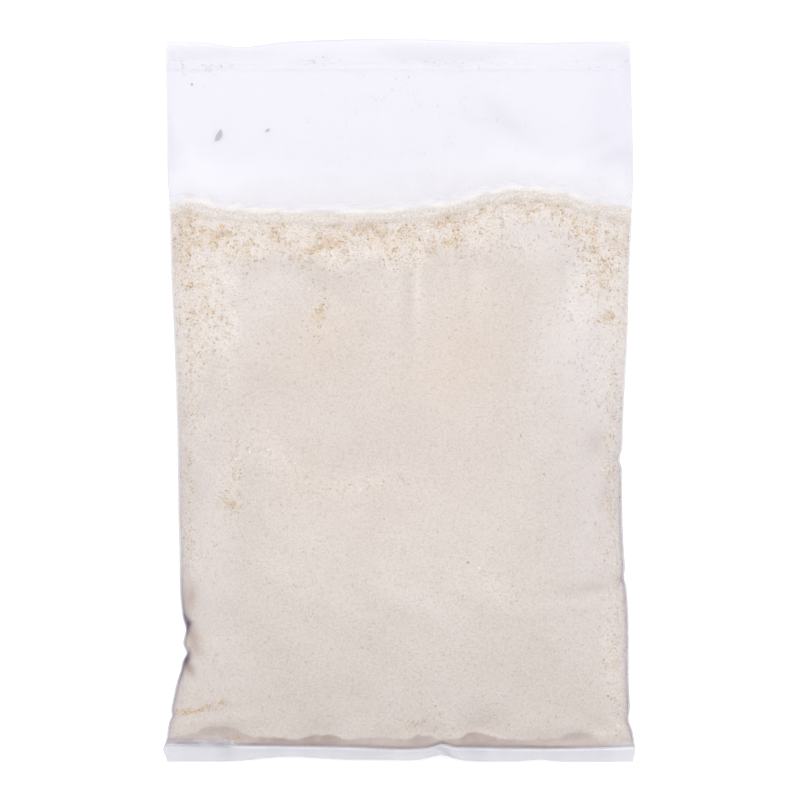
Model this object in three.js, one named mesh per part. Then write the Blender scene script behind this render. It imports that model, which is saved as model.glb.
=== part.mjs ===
// A clear film bag of fine breadcrumbs, lying on its back with its front face up.
//
// The bag is a flat tube of thin film, heat-sealed straight across near both ends, with a
// loose flap of film beyond each seal. Crumbs fill about three quarters of its length. They
// have slumped towards the bottom seal, so the bag is fullest below its middle, thins
// towards the uneven top line of the crumbs, and is almost flat from there to the top seal.
// Shut and full, it is one closed solid: its front wall and its back wall are two height
// surfaces over the same outline, which meet along that outline.
//
// Millimetres. +X runs across the bag, +Y towards its top seal, +Z up from the surface that
// it lies on. The origin is on that surface, under the middle of the outline.

import * as THREE from 'three';
import { ParametricGeometry } from 'three/addons/geometries/ParametricGeometry.js';
import { mergeGeometries, mergeVertices } from 'three/addons/utils/BufferGeometryUtils.js';

// ---- Driving dimensions ----

const FLAT_WIDTH = 240; // of the film tube before it is filled
const BAG_LENGTH = 370; // from flap edge to flap edge
const FULL_THICKNESS = 48; // at the fullest station
const FULLEST_Y = -75; // that station's place along the bag
const CRUMB_LINE_Y = 97; // where the crumbs end, between their mounds
const WALL = 0.8; // front and back film together, made thick enough for a solid

const TOP_SEAL_Y = 170.8; // middle of the upper heat seal
const BOTTOM_SEAL_Y = -176.9; // upper edge of the lower heat seal, at the bag's middle
const BOTTOM_SEAL_SLANT = -0.004; // the lower seal drops towards +X
const BOTTOM_SEAL_BOW = 1.1; // and its ends are higher than its middle
const SEAL_BAND = 3.2; // width of a heat seal
const SEAL_RELIEF = 0.5; // its raised, wrinkled film

const SEAL_HEIGHT = 15; // the lower seal hangs this far above the surface
const SIDE_HEIGHT = 17; // so do the side folds of the filled part
const FLAP_TIP_HEIGHT = 7; // the lower flap droops to this
const FLAP_CURL = 3.5; // the upper flap's edge lifts by this

const BOTTOM_ROUNDING = 2.6; // power of the blunt lower end
const TOP_ROUNDING = 2.2; // power of the slope up to the crumb line
const TOP_REACH = 11; // that slope, carried on, would end this far past the crumb line
const BACK_ROUNDING = 4; // power of the back's curve between the side folds
const BACK_PRESS = 1.03; // that curve would reach this much lower, and is pressed flat
const BACK_RISE = 30; // the back leaves the surface this far from the lower seal
const SIDE_TAKE_UP = 1.463; // narrowing of the tube as it fills, since film doesn't stretch
const DRAPE_SHARE = 0.932; // where the front film leaves the crumbs for the empty part

const COLUMNS = 38;

// ---- The film's own marks: uneven edges, dents, folds ----

// Rises of the crumb line: place across the bag, height, half-width
const MOUNDS = [
  { x: 64, height: 11, width: 25 },
  { x: -106, height: 5, width: 8 },
  { x: -28, height: -1.5, width: 22 },
];

// Rises of the upper flap's cut edge above its corners
const TOP_EDGE_WAVES = [
  { x: -8, height: 1.5, width: 26 },
  { x: -81, height: -2.8, width: 11 },
  { x: 66, height: -0.6, width: 20 },
];

// Rises of the lower flap's cut edge above its corners
const BOTTOM_EDGE_WAVES = [
  { x: -58, height: 2.3, width: 14 },
  { x: -15, height: 0.9, width: 30 },
  { x: 21, height: 3, width: 6 },
  { x: 72, height: 1.1, width: 5 },
];

// Marks in the side outline, where buckled film draws in, or by a negative depth swells:
// side, place along the bag, depth, half-width
const SIDE_MARKS = [
  { side: -1, y: 137, depth: 0.6, width: 14 },
  { side: -1, y: 98, depth: 0.9, width: 13 },
  { side: -1, y: -85, depth: 0.7, width: 14 },
  { side: -1, y: -120, depth: 3.5, width: 12 },
  { side: -1, y: -117, depth: 1.2, width: 2.6 },
  { side: -1, y: -129.5, depth: 2.4, width: 2.4 },
  { side: -1, y: -149, depth: 0.8, width: 6 },
  { side: -1, y: -161, depth: 0.9, width: 1.6 },
  { side: -1, y: -178.5, depth: -1, width: 2 },
  { side: -1, y: -187, depth: 1.2, width: 4 },
  { side: 1, y: 190, depth: 1.8, width: 36 },
  { side: 1, y: 32, depth: -0.8, width: 20 },
  { side: 1, y: -30, depth: 1.6, width: 2.2 },
  { side: 1, y: -90.5, depth: 1.1, width: 2 },
  { side: 1, y: -111, depth: -2.9, width: 24 },
  { side: 1, y: -163, depth: 1.4, width: 3 },
  { side: 1, y: -187, depth: 0.9, width: 4 },
];

// Dents and ridges of the filled part's front: middle, long and short half-width, turn
// about Z, and height, which is negative for a dent
const FACE_MARKS = [
  // left side
  { x: -104, y: -122, long: 6, short: 3.4, turn: -65, height: -3.2 },
  { x: -106.5, y: -137, long: 5, short: 2.6, turn: -60, height: -2.4 },
  { x: -106, y: -102, long: 9, short: 3.6, turn: 85, height: -1.6 },
  { x: -101, y: -130, long: 9, short: 3, turn: 10, height: 1.4 },
  { x: -112, y: -150, long: 5, short: 2.5, turn: 80, height: -1.4 },
  { x: -98, y: -159, long: 20, short: 2.2, turn: 9, height: -1.3 },
  { x: -101, y: -15, long: 22, short: 5, turn: 88, height: 0.9 },
  { x: -88, y: 20, long: 18, short: 6, turn: 75, height: 0.8 },
  // right side
  { x: 101.5, y: -25, long: 8, short: 5, turn: 70, height: -1.9 },
  { x: 105.5, y: -58, long: 13, short: 4, turn: 88, height: -1.5 },
  { x: 97, y: -95, long: 15, short: 2.8, turn: 9, height: -1.5 },
  { x: 96, y: -103, long: 15, short: 3, turn: 8, height: 0.9 },
  { x: 92, y: 33, long: 14, short: 6, turn: 60, height: 0.9 },
  { x: 103, y: -166, long: 12, short: 2.2, turn: -28, height: -1.6 },
  { x: 96, y: -170, long: 10, short: 2.2, turn: -20, height: 1.2 },
  // along the lower seal
  { x: -92, y: -170, long: 13, short: 4, turn: 4, height: -6 },
  { x: -41, y: -169, long: 8, short: 4.4, turn: 15, height: -4.6 },
  { x: -8, y: -171, long: 9, short: 3.4, turn: 0, height: -2.6 },
  { x: 16, y: -169, long: 7, short: 4.2, turn: -20, height: -4 },
  { x: 41, y: -167, long: 9, short: 5.4, turn: 14, height: -6 },
  { x: 70, y: -172, long: 10, short: 3, turn: 0, height: -2.4 },
  { x: 92, y: -171, long: 10, short: 3.4, turn: 12, height: -4 },
  // broad face
  { x: 1.5, y: 62, long: 26, short: 3.2, turn: 90, height: -0.8 },
  { x: 9, y: 56, long: 28, short: 3.4, turn: 90, height: 0.9 },
  { x: 41, y: 68, long: 14, short: 3.6, turn: 86, height: 0.7 },
  { x: 71, y: 82, long: 13, short: 7, turn: -20, height: 1 },
  { x: -52, y: 78, long: 22, short: 5, turn: -35, height: -1 },
  { x: -20, y: -45, long: 60, short: 16, turn: 25, height: -0.7 },
];

// Soft folds of the empty part, in front and back film alike, given in the same way
const EMPTY_FOLDS = [
  { x: 51, y: 140, long: 32, short: 4, turn: -50, height: 1.3 },
  { x: 40, y: 136, long: 24, short: 4, turn: -46, height: 1 },
  { x: 100, y: 127, long: 20, short: 4.5, turn: 22, height: 1.5 },
  { x: 99, y: 114, long: 16, short: 4, turn: 34, height: 1 },
  { x: -83, y: 142, long: 30, short: 7, turn: -55, height: 0.9 },
  { x: -20, y: 150, long: 28, short: 9, turn: 78, height: 0.8 },
  { x: -108, y: 120, long: 18, short: 5, turn: -70, height: 1.2 },
];

// The slanting fold across the lower flap, where its film doubles over
const FLAP_FOLD = { atSeal: 17, atTip: 27, width: 3.6, height: 3.2 };

const FACE_RIPPLE = { height: 0.35, length: 9, phase: 1.1 }; // where film presses on crumbs
const EMPTY_RIPPLE = { height: 0.9, length: 17, phase: 0.4 }; // where nothing weighs it down
const FLAP_RIPPLES = [
  { height: 1.3, length: 13, phase: 0.5 },
  { height: 0.6, length: 5.1, phase: 0 },
];

// ---- Shapes worked out from those ----

const { clamp, lerp, smoothstep, degToRad } = THREE.MathUtils;

const bell = (distance, width) => Math.exp(-0.5 * (distance / width) ** 2);

const rises = (list, x) =>
  list.reduce((sum, rise) => sum + rise.height * bell(x - rise.x, rise.width), 0);

// Random-looking ripples from -1 to 1, always the same: two crossing waves
function ripple({ length, phase }, x, y) {
  const square = Math.sin(x / length + phase) * Math.cos(y / (1.3 * length) + 2 * phase);
  const slanting = Math.sin((x + 1.7 * y) / (0.8 * length) + 3 * phase);
  return 0.6 * square + 0.4 * slanting;
}

// Height at (x, y) of marks that are bell-shaped both ways
function relief(marks, x, y) {
  return marks.reduce((sum, mark) => {
    const turn = degToRad(mark.turn);
    const [dx, dy] = [x - mark.x, y - mark.y];
    const along = dx * Math.cos(turn) + dy * Math.sin(turn);
    const across = dy * Math.cos(turn) - dx * Math.sin(turn);
    return sum + mark.height * bell(along, mark.long) * bell(across, mark.short);
  }, 0);
}

const crumbLineY = (x) => CRUMB_LINE_Y + rises(MOUNDS, x);
const lowerSealY = (x) =>
  BOTTOM_SEAL_Y + BOTTOM_SEAL_SLANT * x + BOTTOM_SEAL_BOW * (x / (FLAT_WIDTH / 2)) ** 2;
const upperEdgeY = (x) => BAG_LENGTH / 2 - 1.3 + rises(TOP_EDGE_WAVES, x);
const lowerEdgeY = (x) => -BAG_LENGTH / 2 + rises(BOTTOM_EDGE_WAVES, x);

// Front to back at the bag's middle: blunt below, and above a long slope that the film
// leaves on a tangent, to sink by a decay into the empty part and close at the upper seal
function thickness(x, y) {
  const end = y < FULLEST_Y ? lowerSealY(x) : crumbLineY(x) + TOP_REACH;
  const run = end - FULLEST_Y;
  const share = clamp((y - FULLEST_Y) / run, 0, 1);
  const power = y < FULLEST_Y ? BOTTOM_ROUNDING : TOP_ROUNDING;
  if (y < FULLEST_Y || share < DRAPE_SHARE)
    return FULL_THICKNESS * Math.sqrt(Math.max(0, 1 - share ** power));
  const depth = Math.sqrt(1 - DRAPE_SHARE ** power);
  const slope = (-power * DRAPE_SHARE ** (power - 1)) / (2 * run * depth ** 2);
  const past = y - (FULLEST_Y + DRAPE_SHARE * run);
  const open = 1 - smoothstep(y, CRUMB_LINE_Y + 40, TOP_SEAL_Y - SEAL_BAND / 2);
  return FULL_THICKNESS * depth * Math.exp(slope * past) * open;
}

// Height of the side folds, which droop to the surface past the crumbs
function sideHeight(x, y) {
  const seal = lowerSealY(x);
  if (y < seal) {
    const out = (seal - y) / (seal - lowerEdgeY(x));
    return lerp(SEAL_HEIGHT, FLAP_TIP_HEIGHT, out ** 1.3);
  }
  const body = lerp(SEAL_HEIGHT, SIDE_HEIGHT, smoothstep(y, seal, seal + 50));
  return body * (1 - smoothstep(y, 20, CRUMB_LINE_Y + 18));
}

// Waves that lift front and back film together where nothing weighs them down
function lift(x, y) {
  const empty = smoothstep(y, CRUMB_LINE_Y + 16, CRUMB_LINE_Y + 34);
  const flap = smoothstep(y, TOP_SEAL_Y, BAG_LENGTH / 2);
  const ripples = (EMPTY_RIPPLE.height * (1 + ripple(EMPTY_RIPPLE, x, y))) / 2;
  const curl = FLAP_CURL * flap * (0.65 + 0.35 * Math.sin(x / 21 + 0.8));
  const folds = relief(EMPTY_FOLDS, x, y) * (1 - flap);
  return empty * (ripples + folds + curl);
}

// The lower flap's waves and its one fold, nothing above the seal
function flapWave(x, y) {
  const out = 1 - smoothstep(y, lowerEdgeY(x), lowerSealY(x));
  const foldX = lerp(FLAP_FOLD.atSeal, FLAP_FOLD.atTip, out);
  const fold = FLAP_FOLD.height * bell(x - foldX, FLAP_FOLD.width);
  const waves = FLAP_RIPPLES.map((wave) => wave.height * Math.sin(x / wave.length + wave.phase));
  return out * waves.reduce((sum, wave) => sum + wave, fold);
}

// Half-width on one side: the tube narrows as it fills, and buckled film marks it
function halfWidth(side, y) {
  const narrowing = SIDE_TAKE_UP * (thickness(0, y) / FLAT_WIDTH) ** 2;
  const marks = SIDE_MARKS.filter((mark) => mark.side === side);
  const drawnIn = marks.reduce((sum, mark) => sum + mark.depth * bell(y - mark.y, mark.width), 0);
  return (FLAT_WIDTH / 2) * (1 - narrowing) - drawnIn;
}

// ---- Rows and columns of the two walls ----

// Bands of rows from the lower cut edge to the upper one. A band ends at a place that may
// change across the bag; a dense band packs its rows towards its lower end.
const EDGE_ROW = 0.5;
const BANDS = [
  { rows: 1, to: (x) => lowerEdgeY(x) + EDGE_ROW },
  { rows: 3, to: (x) => lowerSealY(x) - SEAL_BAND },
  { rows: 1, to: (x) => lowerSealY(x) },
  { rows: 14, to: () => -138, dense: true },
  { rows: 26, to: () => 72 },
  { rows: 11, to: () => 116 },
  { rows: 7, to: () => TOP_SEAL_Y - SEAL_BAND / 2 - EDGE_ROW },
  { rows: 1, to: () => TOP_SEAL_Y - SEAL_BAND / 2 },
  { rows: 1, to: () => TOP_SEAL_Y + SEAL_BAND / 2 },
  { rows: 1, to: () => TOP_SEAL_Y + SEAL_BAND / 2 + EDGE_ROW },
  { rows: 2, to: (x) => upperEdgeY(x) - EDGE_ROW },
  { rows: 1, to: (x) => upperEdgeY(x) },
];
const ROWS = BANDS.reduce((sum, band) => sum + band.rows, 0);

// Place along the bag of row number r, at x
function rowY(r, x) {
  let from = lowerEdgeY(x);
  for (const band of BANDS) {
    const to = band.to(x);
    if (r <= band.rows) {
      const t = r / band.rows;
      return lerp(from, to, band.dense ? 1 - Math.cos((t * Math.PI) / 2) : t);
    }
    r -= band.rows;
    from = to;
  }
  return from;
}

// A point of the front or the back wall, for u across and v along the bag, both 0 to 1.
// Columns are packed towards the sides, which turn over in a few millimetres.
function wallPoint(front, u, v, target) {
  const across = Math.sin((u - 0.5) * Math.PI);
  const y = rowY(v * ROWS, (across * FLAT_WIDTH) / 2);
  const x = across * halfWidth(Math.sign(across), y);
  const onEdge = u <= 0 || u >= 1 || v <= 0 || v >= 1;

  const height = sideHeight(x, y);
  const risen = smoothstep(y, lowerSealY(x), lowerSealY(x) + BACK_RISE);
  const backDepth = height * Math.sqrt(Math.max(0, 1 - (1 - risen) ** 2));
  const raised = lift(x, y) + flapWave(x, y);
  if (!front) {
    const curve = Math.sqrt(Math.max(0, 1 - Math.abs(across) ** BACK_ROUNDING));
    return target.set(x, y, raised + height - backDepth * Math.min(1, BACK_PRESS * curve));
  }
  const round = Math.sqrt(Math.max(0, 1 - across ** 2));
  const filled = y > lowerSealY(x) ? thickness(x, y) - backDepth : 0;
  const full = smoothstep(filled, 0, 12) * (1 - across ** 10);
  const marks = relief(FACE_MARKS, x, y) - FACE_RIPPLE.height * ripple(FACE_RIPPLE, x, y);
  const inSeal = Math.abs(y - TOP_SEAL_Y) < SEAL_BAND / 2 + 0.01 ? SEAL_RELIEF : 0;
  const z = raised + height + filled * round + marks * full + inSeal;
  return target.set(x, y, onEdge ? raised + height : z + WALL);
}

// Both walls are cut into triangles alike, so thin film can't cross itself
function wallGeometry(front) {
  const geometry = new ParametricGeometry(
    (u, v, target) => wallPoint(front, u, v, target),
    COLUMNS,
    ROWS,
  );
  geometry.deleteAttribute('normal');
  geometry.deleteAttribute('uv');
  if (!front) geometry.index.array.reverse();
  return geometry;
}

function bagMesh() {
  const closed = mergeVertices(mergeGeometries([wallGeometry(true), wallGeometry(false)]), 1e-3);
  closed.computeVertexNormals();
  const crumbsInFilm = new THREE.MeshStandardMaterial({
    color: 0xe6d9cb,
    roughness: 0.42,
    metalness: 0,
  });
  const mesh = new THREE.Mesh(closed, crumbsInFilm);
  mesh.name = 'crumb_bag';
  return mesh;
}

const group = new THREE.Group();
group.add(bagMesh());

export default group;
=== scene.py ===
"""Looks of a clear film bag of fine breadcrumbs that lies on its back.

BagForm holds the filled bag's form as formulas: heights over a place across and along the
bag. FilmBag makes the thin clear film from them, CrumbHeap the crumbs that fill it, and
the scatter classes the single crumbs that show: loose ones where the film doesn't press,
golden bits of crust among them, and dust that clings inside the empty part.

Form sizes are in millimetres and become metres where a mesh is made. +X runs across the
bag, +Y towards its top seal, +Z up.
"""

from __future__ import annotations

import logging
import math
from dataclasses import dataclass, field
from enum import Enum

import bpy
import numpy as np
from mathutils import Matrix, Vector

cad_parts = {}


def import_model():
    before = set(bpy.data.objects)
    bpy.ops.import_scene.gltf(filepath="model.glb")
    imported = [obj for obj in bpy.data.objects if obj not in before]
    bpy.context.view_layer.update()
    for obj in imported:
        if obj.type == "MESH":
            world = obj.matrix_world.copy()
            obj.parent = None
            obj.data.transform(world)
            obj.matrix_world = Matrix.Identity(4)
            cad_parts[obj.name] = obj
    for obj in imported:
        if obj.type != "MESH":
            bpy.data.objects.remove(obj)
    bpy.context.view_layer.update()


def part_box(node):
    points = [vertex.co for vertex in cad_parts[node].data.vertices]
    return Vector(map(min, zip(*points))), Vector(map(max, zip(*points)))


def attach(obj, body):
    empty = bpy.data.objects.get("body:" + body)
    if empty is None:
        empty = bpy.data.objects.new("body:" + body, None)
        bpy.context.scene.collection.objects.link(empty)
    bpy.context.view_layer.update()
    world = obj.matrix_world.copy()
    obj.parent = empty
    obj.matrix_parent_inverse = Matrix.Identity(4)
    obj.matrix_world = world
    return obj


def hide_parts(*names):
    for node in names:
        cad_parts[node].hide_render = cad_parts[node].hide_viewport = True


LOG = logging.getLogger("crumb_bag")
NODE = "crumb_bag"
BODY = "root"
MM = 0.001
SEED = 20817

Array = np.ndarray
Colour = tuple[float, float, float]


# ---- Small formulas ----


def bell(distance: Array, width: Array | float) -> Array:
    """A bell curve of height 1.

    Args:
        distance: how far from the middle.
        width: its half-width, where it is at 0.61.

    Returns:
        e to the minus half of the squared ratio of the two.
    """
    return np.exp(-0.5 * (distance / width) ** 2)


def cusp(distance: Array, width: float) -> Array:
    """A sharp crest of height 1 that falls off by a decay on both sides."""
    return np.exp(-np.abs(distance) / width)


def smoothstep(value: Array, low: Array | float, high: Array | float) -> Array:
    """Rises from 0 at low to 1 at high, flat at both ends: 3t^2 - 2t^3 of the share t."""
    share = np.clip((value - low) / (high - low), 0, 1)
    return share * share * (3 - 2 * share)


def blend(start: Array | float, end: Array | float, share: Array | float) -> Array:
    """A straight mix of two values."""
    return start + (end - start) * share


def grain_noise(x: Array, y: Array, cell: float, seed: int) -> Array:
    """Smooth random values from 0 to 1 over a plane.

    Each corner of a square lattice has a random value from the fraction of a large sine,
    and a point mixes its four corners by smoothstep.

    Args:
        x: first coordinate.
        y: second coordinate.
        cell: the lattice's pitch.
        seed: picks one lattice of many.

    Returns:
        The value at each point.
    """
    column, row = np.floor(x / cell), np.floor(y / cell)
    across, along = smoothstep(x / cell - column, 0, 1), smoothstep(y / cell - row, 0, 1)

    def corner(i: Array, j: Array) -> Array:
        """The random value of lattice corner (i, j)."""
        large = np.sin(i * 127.1 + j * 311.7 + seed * 74.7) * 43758.5453
        return large - np.floor(large)

    low = blend(corner(column, row), corner(column + 1, row), across)
    high = blend(corner(column, row + 1), corner(column + 1, row + 1), across)
    return blend(low, high, along)


# ---- Marks on the film and in the crumbs ----


@dataclass(frozen=True)
class Rise:
    """A bell-shaped rise of a line across the bag: place, height and half-width."""

    x: float
    height: float
    width: float


@dataclass(frozen=True)
class SideMark:
    """Film drawn in at a side, or swollen by a negative depth."""

    side: int
    y: float
    depth: float
    width: float


@dataclass(frozen=True)
class Mark:
    """A mark that is bell-shaped both ways, turned about Z by degrees; height may be any
    measure of strength."""

    x: float
    y: float
    long: float
    short: float
    turn: float
    height: float

    def at(self, x: Array, y: Array, sharp: bool = False) -> Array:
        """The mark's height at (x, y).

        Args:
            x: places across the bag.
            y: places along the bag.
            sharp: gives the mark a crease's edge across its length.

        Returns:
            height times the profiles along and across the turned mark.
        """
        turn = math.radians(self.turn)
        dx, dy = x - self.x, y - self.y
        along = dx * math.cos(turn) + dy * math.sin(turn)
        across = dy * math.cos(turn) - dx * math.sin(turn)
        profile = cusp(across, self.short) if sharp else bell(across, self.short)
        return self.height * bell(along, self.long) * profile


def rises(marks: tuple[Rise, ...], x: Array) -> Array:
    """The sum of rises at x."""
    return sum(mark.height * bell(x - mark.x, mark.width) for mark in marks)


def relief(marks: tuple[Mark, ...], x: Array, y: Array, sharp: bool = False) -> Array:
    """The sum of marks at (x, y)."""
    return sum(mark.at(x, y, sharp) for mark in marks)


def ripple(x: Array, y: Array, length: float, phase: float) -> Array:
    """Random-looking ripples from -1 to 1, always the same: two crossing waves.

    Args:
        x: places across the bag.
        y: places along the bag.
        length: how far a wave runs for each radian.
        phase: shifts the waves.

    Returns:
        A square pattern with a weaker slanting wave over it.
    """
    square = np.sin(x / length + phase) * np.cos(y / (1.3 * length) + 2 * phase)
    slanting = np.sin((x + 1.7 * y) / (0.8 * length) + 3 * phase)
    return 0.6 * square + 0.4 * slanting


# Low mounds of the crumb line, and waves of both cut edges and of the lower seal
MOUNDS = (Rise(64, 11, 25), Rise(-106, 5, 8), Rise(-28, -1.5, 22))
TOP_EDGE_WAVES = (Rise(-8, 1.5, 26), Rise(-81, -2.8, 11), Rise(66, -0.6, 20))
BOTTOM_EDGE_WAVES = (
    Rise(-58, 2.3, 14),
    Rise(-15, 0.9, 30),
    Rise(21, 3, 6),
    Rise(72, 1.1, 5),
)
SEAL_WAVES = (Rise(0, -1, 13), Rise(21, 1.9, 3.4), Rise(84, -0.85, 28))
# Where the sides are drawn in or swell
SIDE_MARKS = (
    SideMark(-1, 137, 0.6, 14),
    SideMark(-1, 98, 0.9, 13),
    SideMark(-1, -85, 0.7, 14),
    SideMark(-1, -120, 3.5, 12),
    SideMark(-1, -117, 1.2, 2.6),
    SideMark(-1, -129, 2.4, 2.2),
    SideMark(-1, -137, 2.0, 5),
    SideMark(-1, -149, 0.8, 6),
    SideMark(-1, -161, 0.9, 1.6),
    SideMark(-1, -178.5, -1, 2),
    SideMark(-1, -187, 1.2, 4),
    SideMark(1, 190, 1.8, 36),
    SideMark(1, 32, -0.8, 20),
    SideMark(1, -30, 1.6, 2.2),
    SideMark(1, -90.5, 1.1, 2),
    SideMark(1, -111, -2.9, 24),
    SideMark(1, -163, 1.4, 3),
    SideMark(1, -187, 0.9, 4),
)
# Dents and swellings of the filled front
FACE_MARKS = (
    # left side
    Mark(-104, -122, 6, 3.4, -65, -3.2),
    Mark(-106.5, -137, 5, 2.6, -60, -2.4),
    Mark(-106, -102, 9, 3.6, 85, -1.6),
    Mark(-101, -130, 9, 3, 10, 1.4),
    Mark(-112, -150, 5, 2.5, 80, -1.4),
    Mark(-98, -159, 20, 2.2, 9, -1.3),
    Mark(-101, -15, 22, 5, 88, 0.9),
    Mark(-88, 20, 18, 6, 75, 0.8),
    # right side
    Mark(101.5, -25, 8, 5, 70, -1.9),
    Mark(105.5, -58, 13, 4, 88, -1.5),
    Mark(97, -95, 15, 2.8, 9, -1.5),
    Mark(96, -103, 15, 3, 8, 0.9),
    Mark(92, 33, 14, 6, 60, 0.9),
    Mark(103, -166, 12, 2.2, -28, -1.6),
    Mark(96, -170, 10, 2.2, -20, 1.2),
    # along the lower seal
    Mark(-92, -170, 13, 4, 4, -6),
    Mark(-41, -169, 8, 4.4, 15, -4.6),
    Mark(-8, -171, 9, 3.4, 0, -2.6),
    Mark(16, -169, 7, 4.2, -20, -4),
    Mark(41, -167, 9, 5.4, 14, -6),
    Mark(70, -172, 10, 3, 0, -2.4),
    Mark(92, -171, 10, 3.4, 12, -4),
    # broad face
    Mark(1.5, 62, 26, 3.2, 90, -0.8),
    Mark(9, 56, 28, 3.4, 90, 0.9),
    Mark(41, 68, 14, 3.6, 86, 0.7),
    Mark(71, 82, 13, 7, -20, 1),
    Mark(-52, 78, 22, 5, -35, -1),
    Mark(-20, -45, 60, 16, 25, -0.7),
)
# Soft folds of the empty part
EMPTY_FOLDS = (
    Mark(51, 140, 32, 4, -50, 1.3),
    Mark(40, 136, 24, 4, -46, 1),
    Mark(100, 127, 20, 4.5, 22, 1.5),
    Mark(99, 114, 16, 4, 34, 1),
    Mark(-83, 142, 30, 7, -55, 0.9),
    Mark(-20, 150, 28, 9, 78, 0.8),
    Mark(-108, 120, 18, 5, -70, 1.2),
)
# Sharp creases of the front film alone
FILM_CREASES = (
    Mark(63, 139, 24, 1.4, -62, 0.5),
    Mark(39, 135, 20, 1.6, -43, 0.45),
    Mark(93, 125, 13, 1.2, 28, 0.5),
    Mark(104, 116, 12, 1.4, 24, 0.45),
    Mark(78, 180, 6, 0.5, -104, 0.7),
    Mark(117, 150, 4, 0.8, 30, 0.6),
    Mark(66, 114.5, 3.2, 0.6, -24, 0.5),
    Mark(23, -180, 4.5, 0.7, -36, 0.7),
)
# Shade painted into the film: dark folds, and faint shades where its two layers lie close
PAINTED_FILM_SHADES = (
    Mark(-109, -111.2, 2.3, 0.7, -58, 0.45),
    Mark(-107.6, -113.6, 0.9, 0.9, 0, 0.5),
    Mark(-108.6, -116.6, 2.4, 0.6, 70, 0.62),
    Mark(-108.7, -131.8, 2.1, 0.8, 72, 0.66),
    Mark(-112, -139.6, 2.8, 0.5, 68, 0.4),
    Mark(115, -30.5, 1.2, 0.8, 0, 0.3),
    Mark(114.2, -90, 2.4, 0.7, 60, 0.3),
    Mark(24.4, -180.7, 3.6, 0.7, -38, 0.6),
    Mark(18, -180, 2.4, 1.2, 40, 0.08),
    Mark(-88, -181, 3, 1.6, 90, 0.07),
    Mark(102.5, -181, 3, 1.6, 90, 0.08),
    Mark(92, -181.5, 3, 0.9, 40, 0.06),
    Mark(-104, -183, 14, 5, 0, 0.07),
    Mark(108, 142, 9, 26, 0, 0.025),
    Mark(52, 143, 18, 4.5, -43, 0.02),
    Mark(104, 120, 13, 4, 30, 0.025),
)


# ---- The bag's form ----


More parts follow.
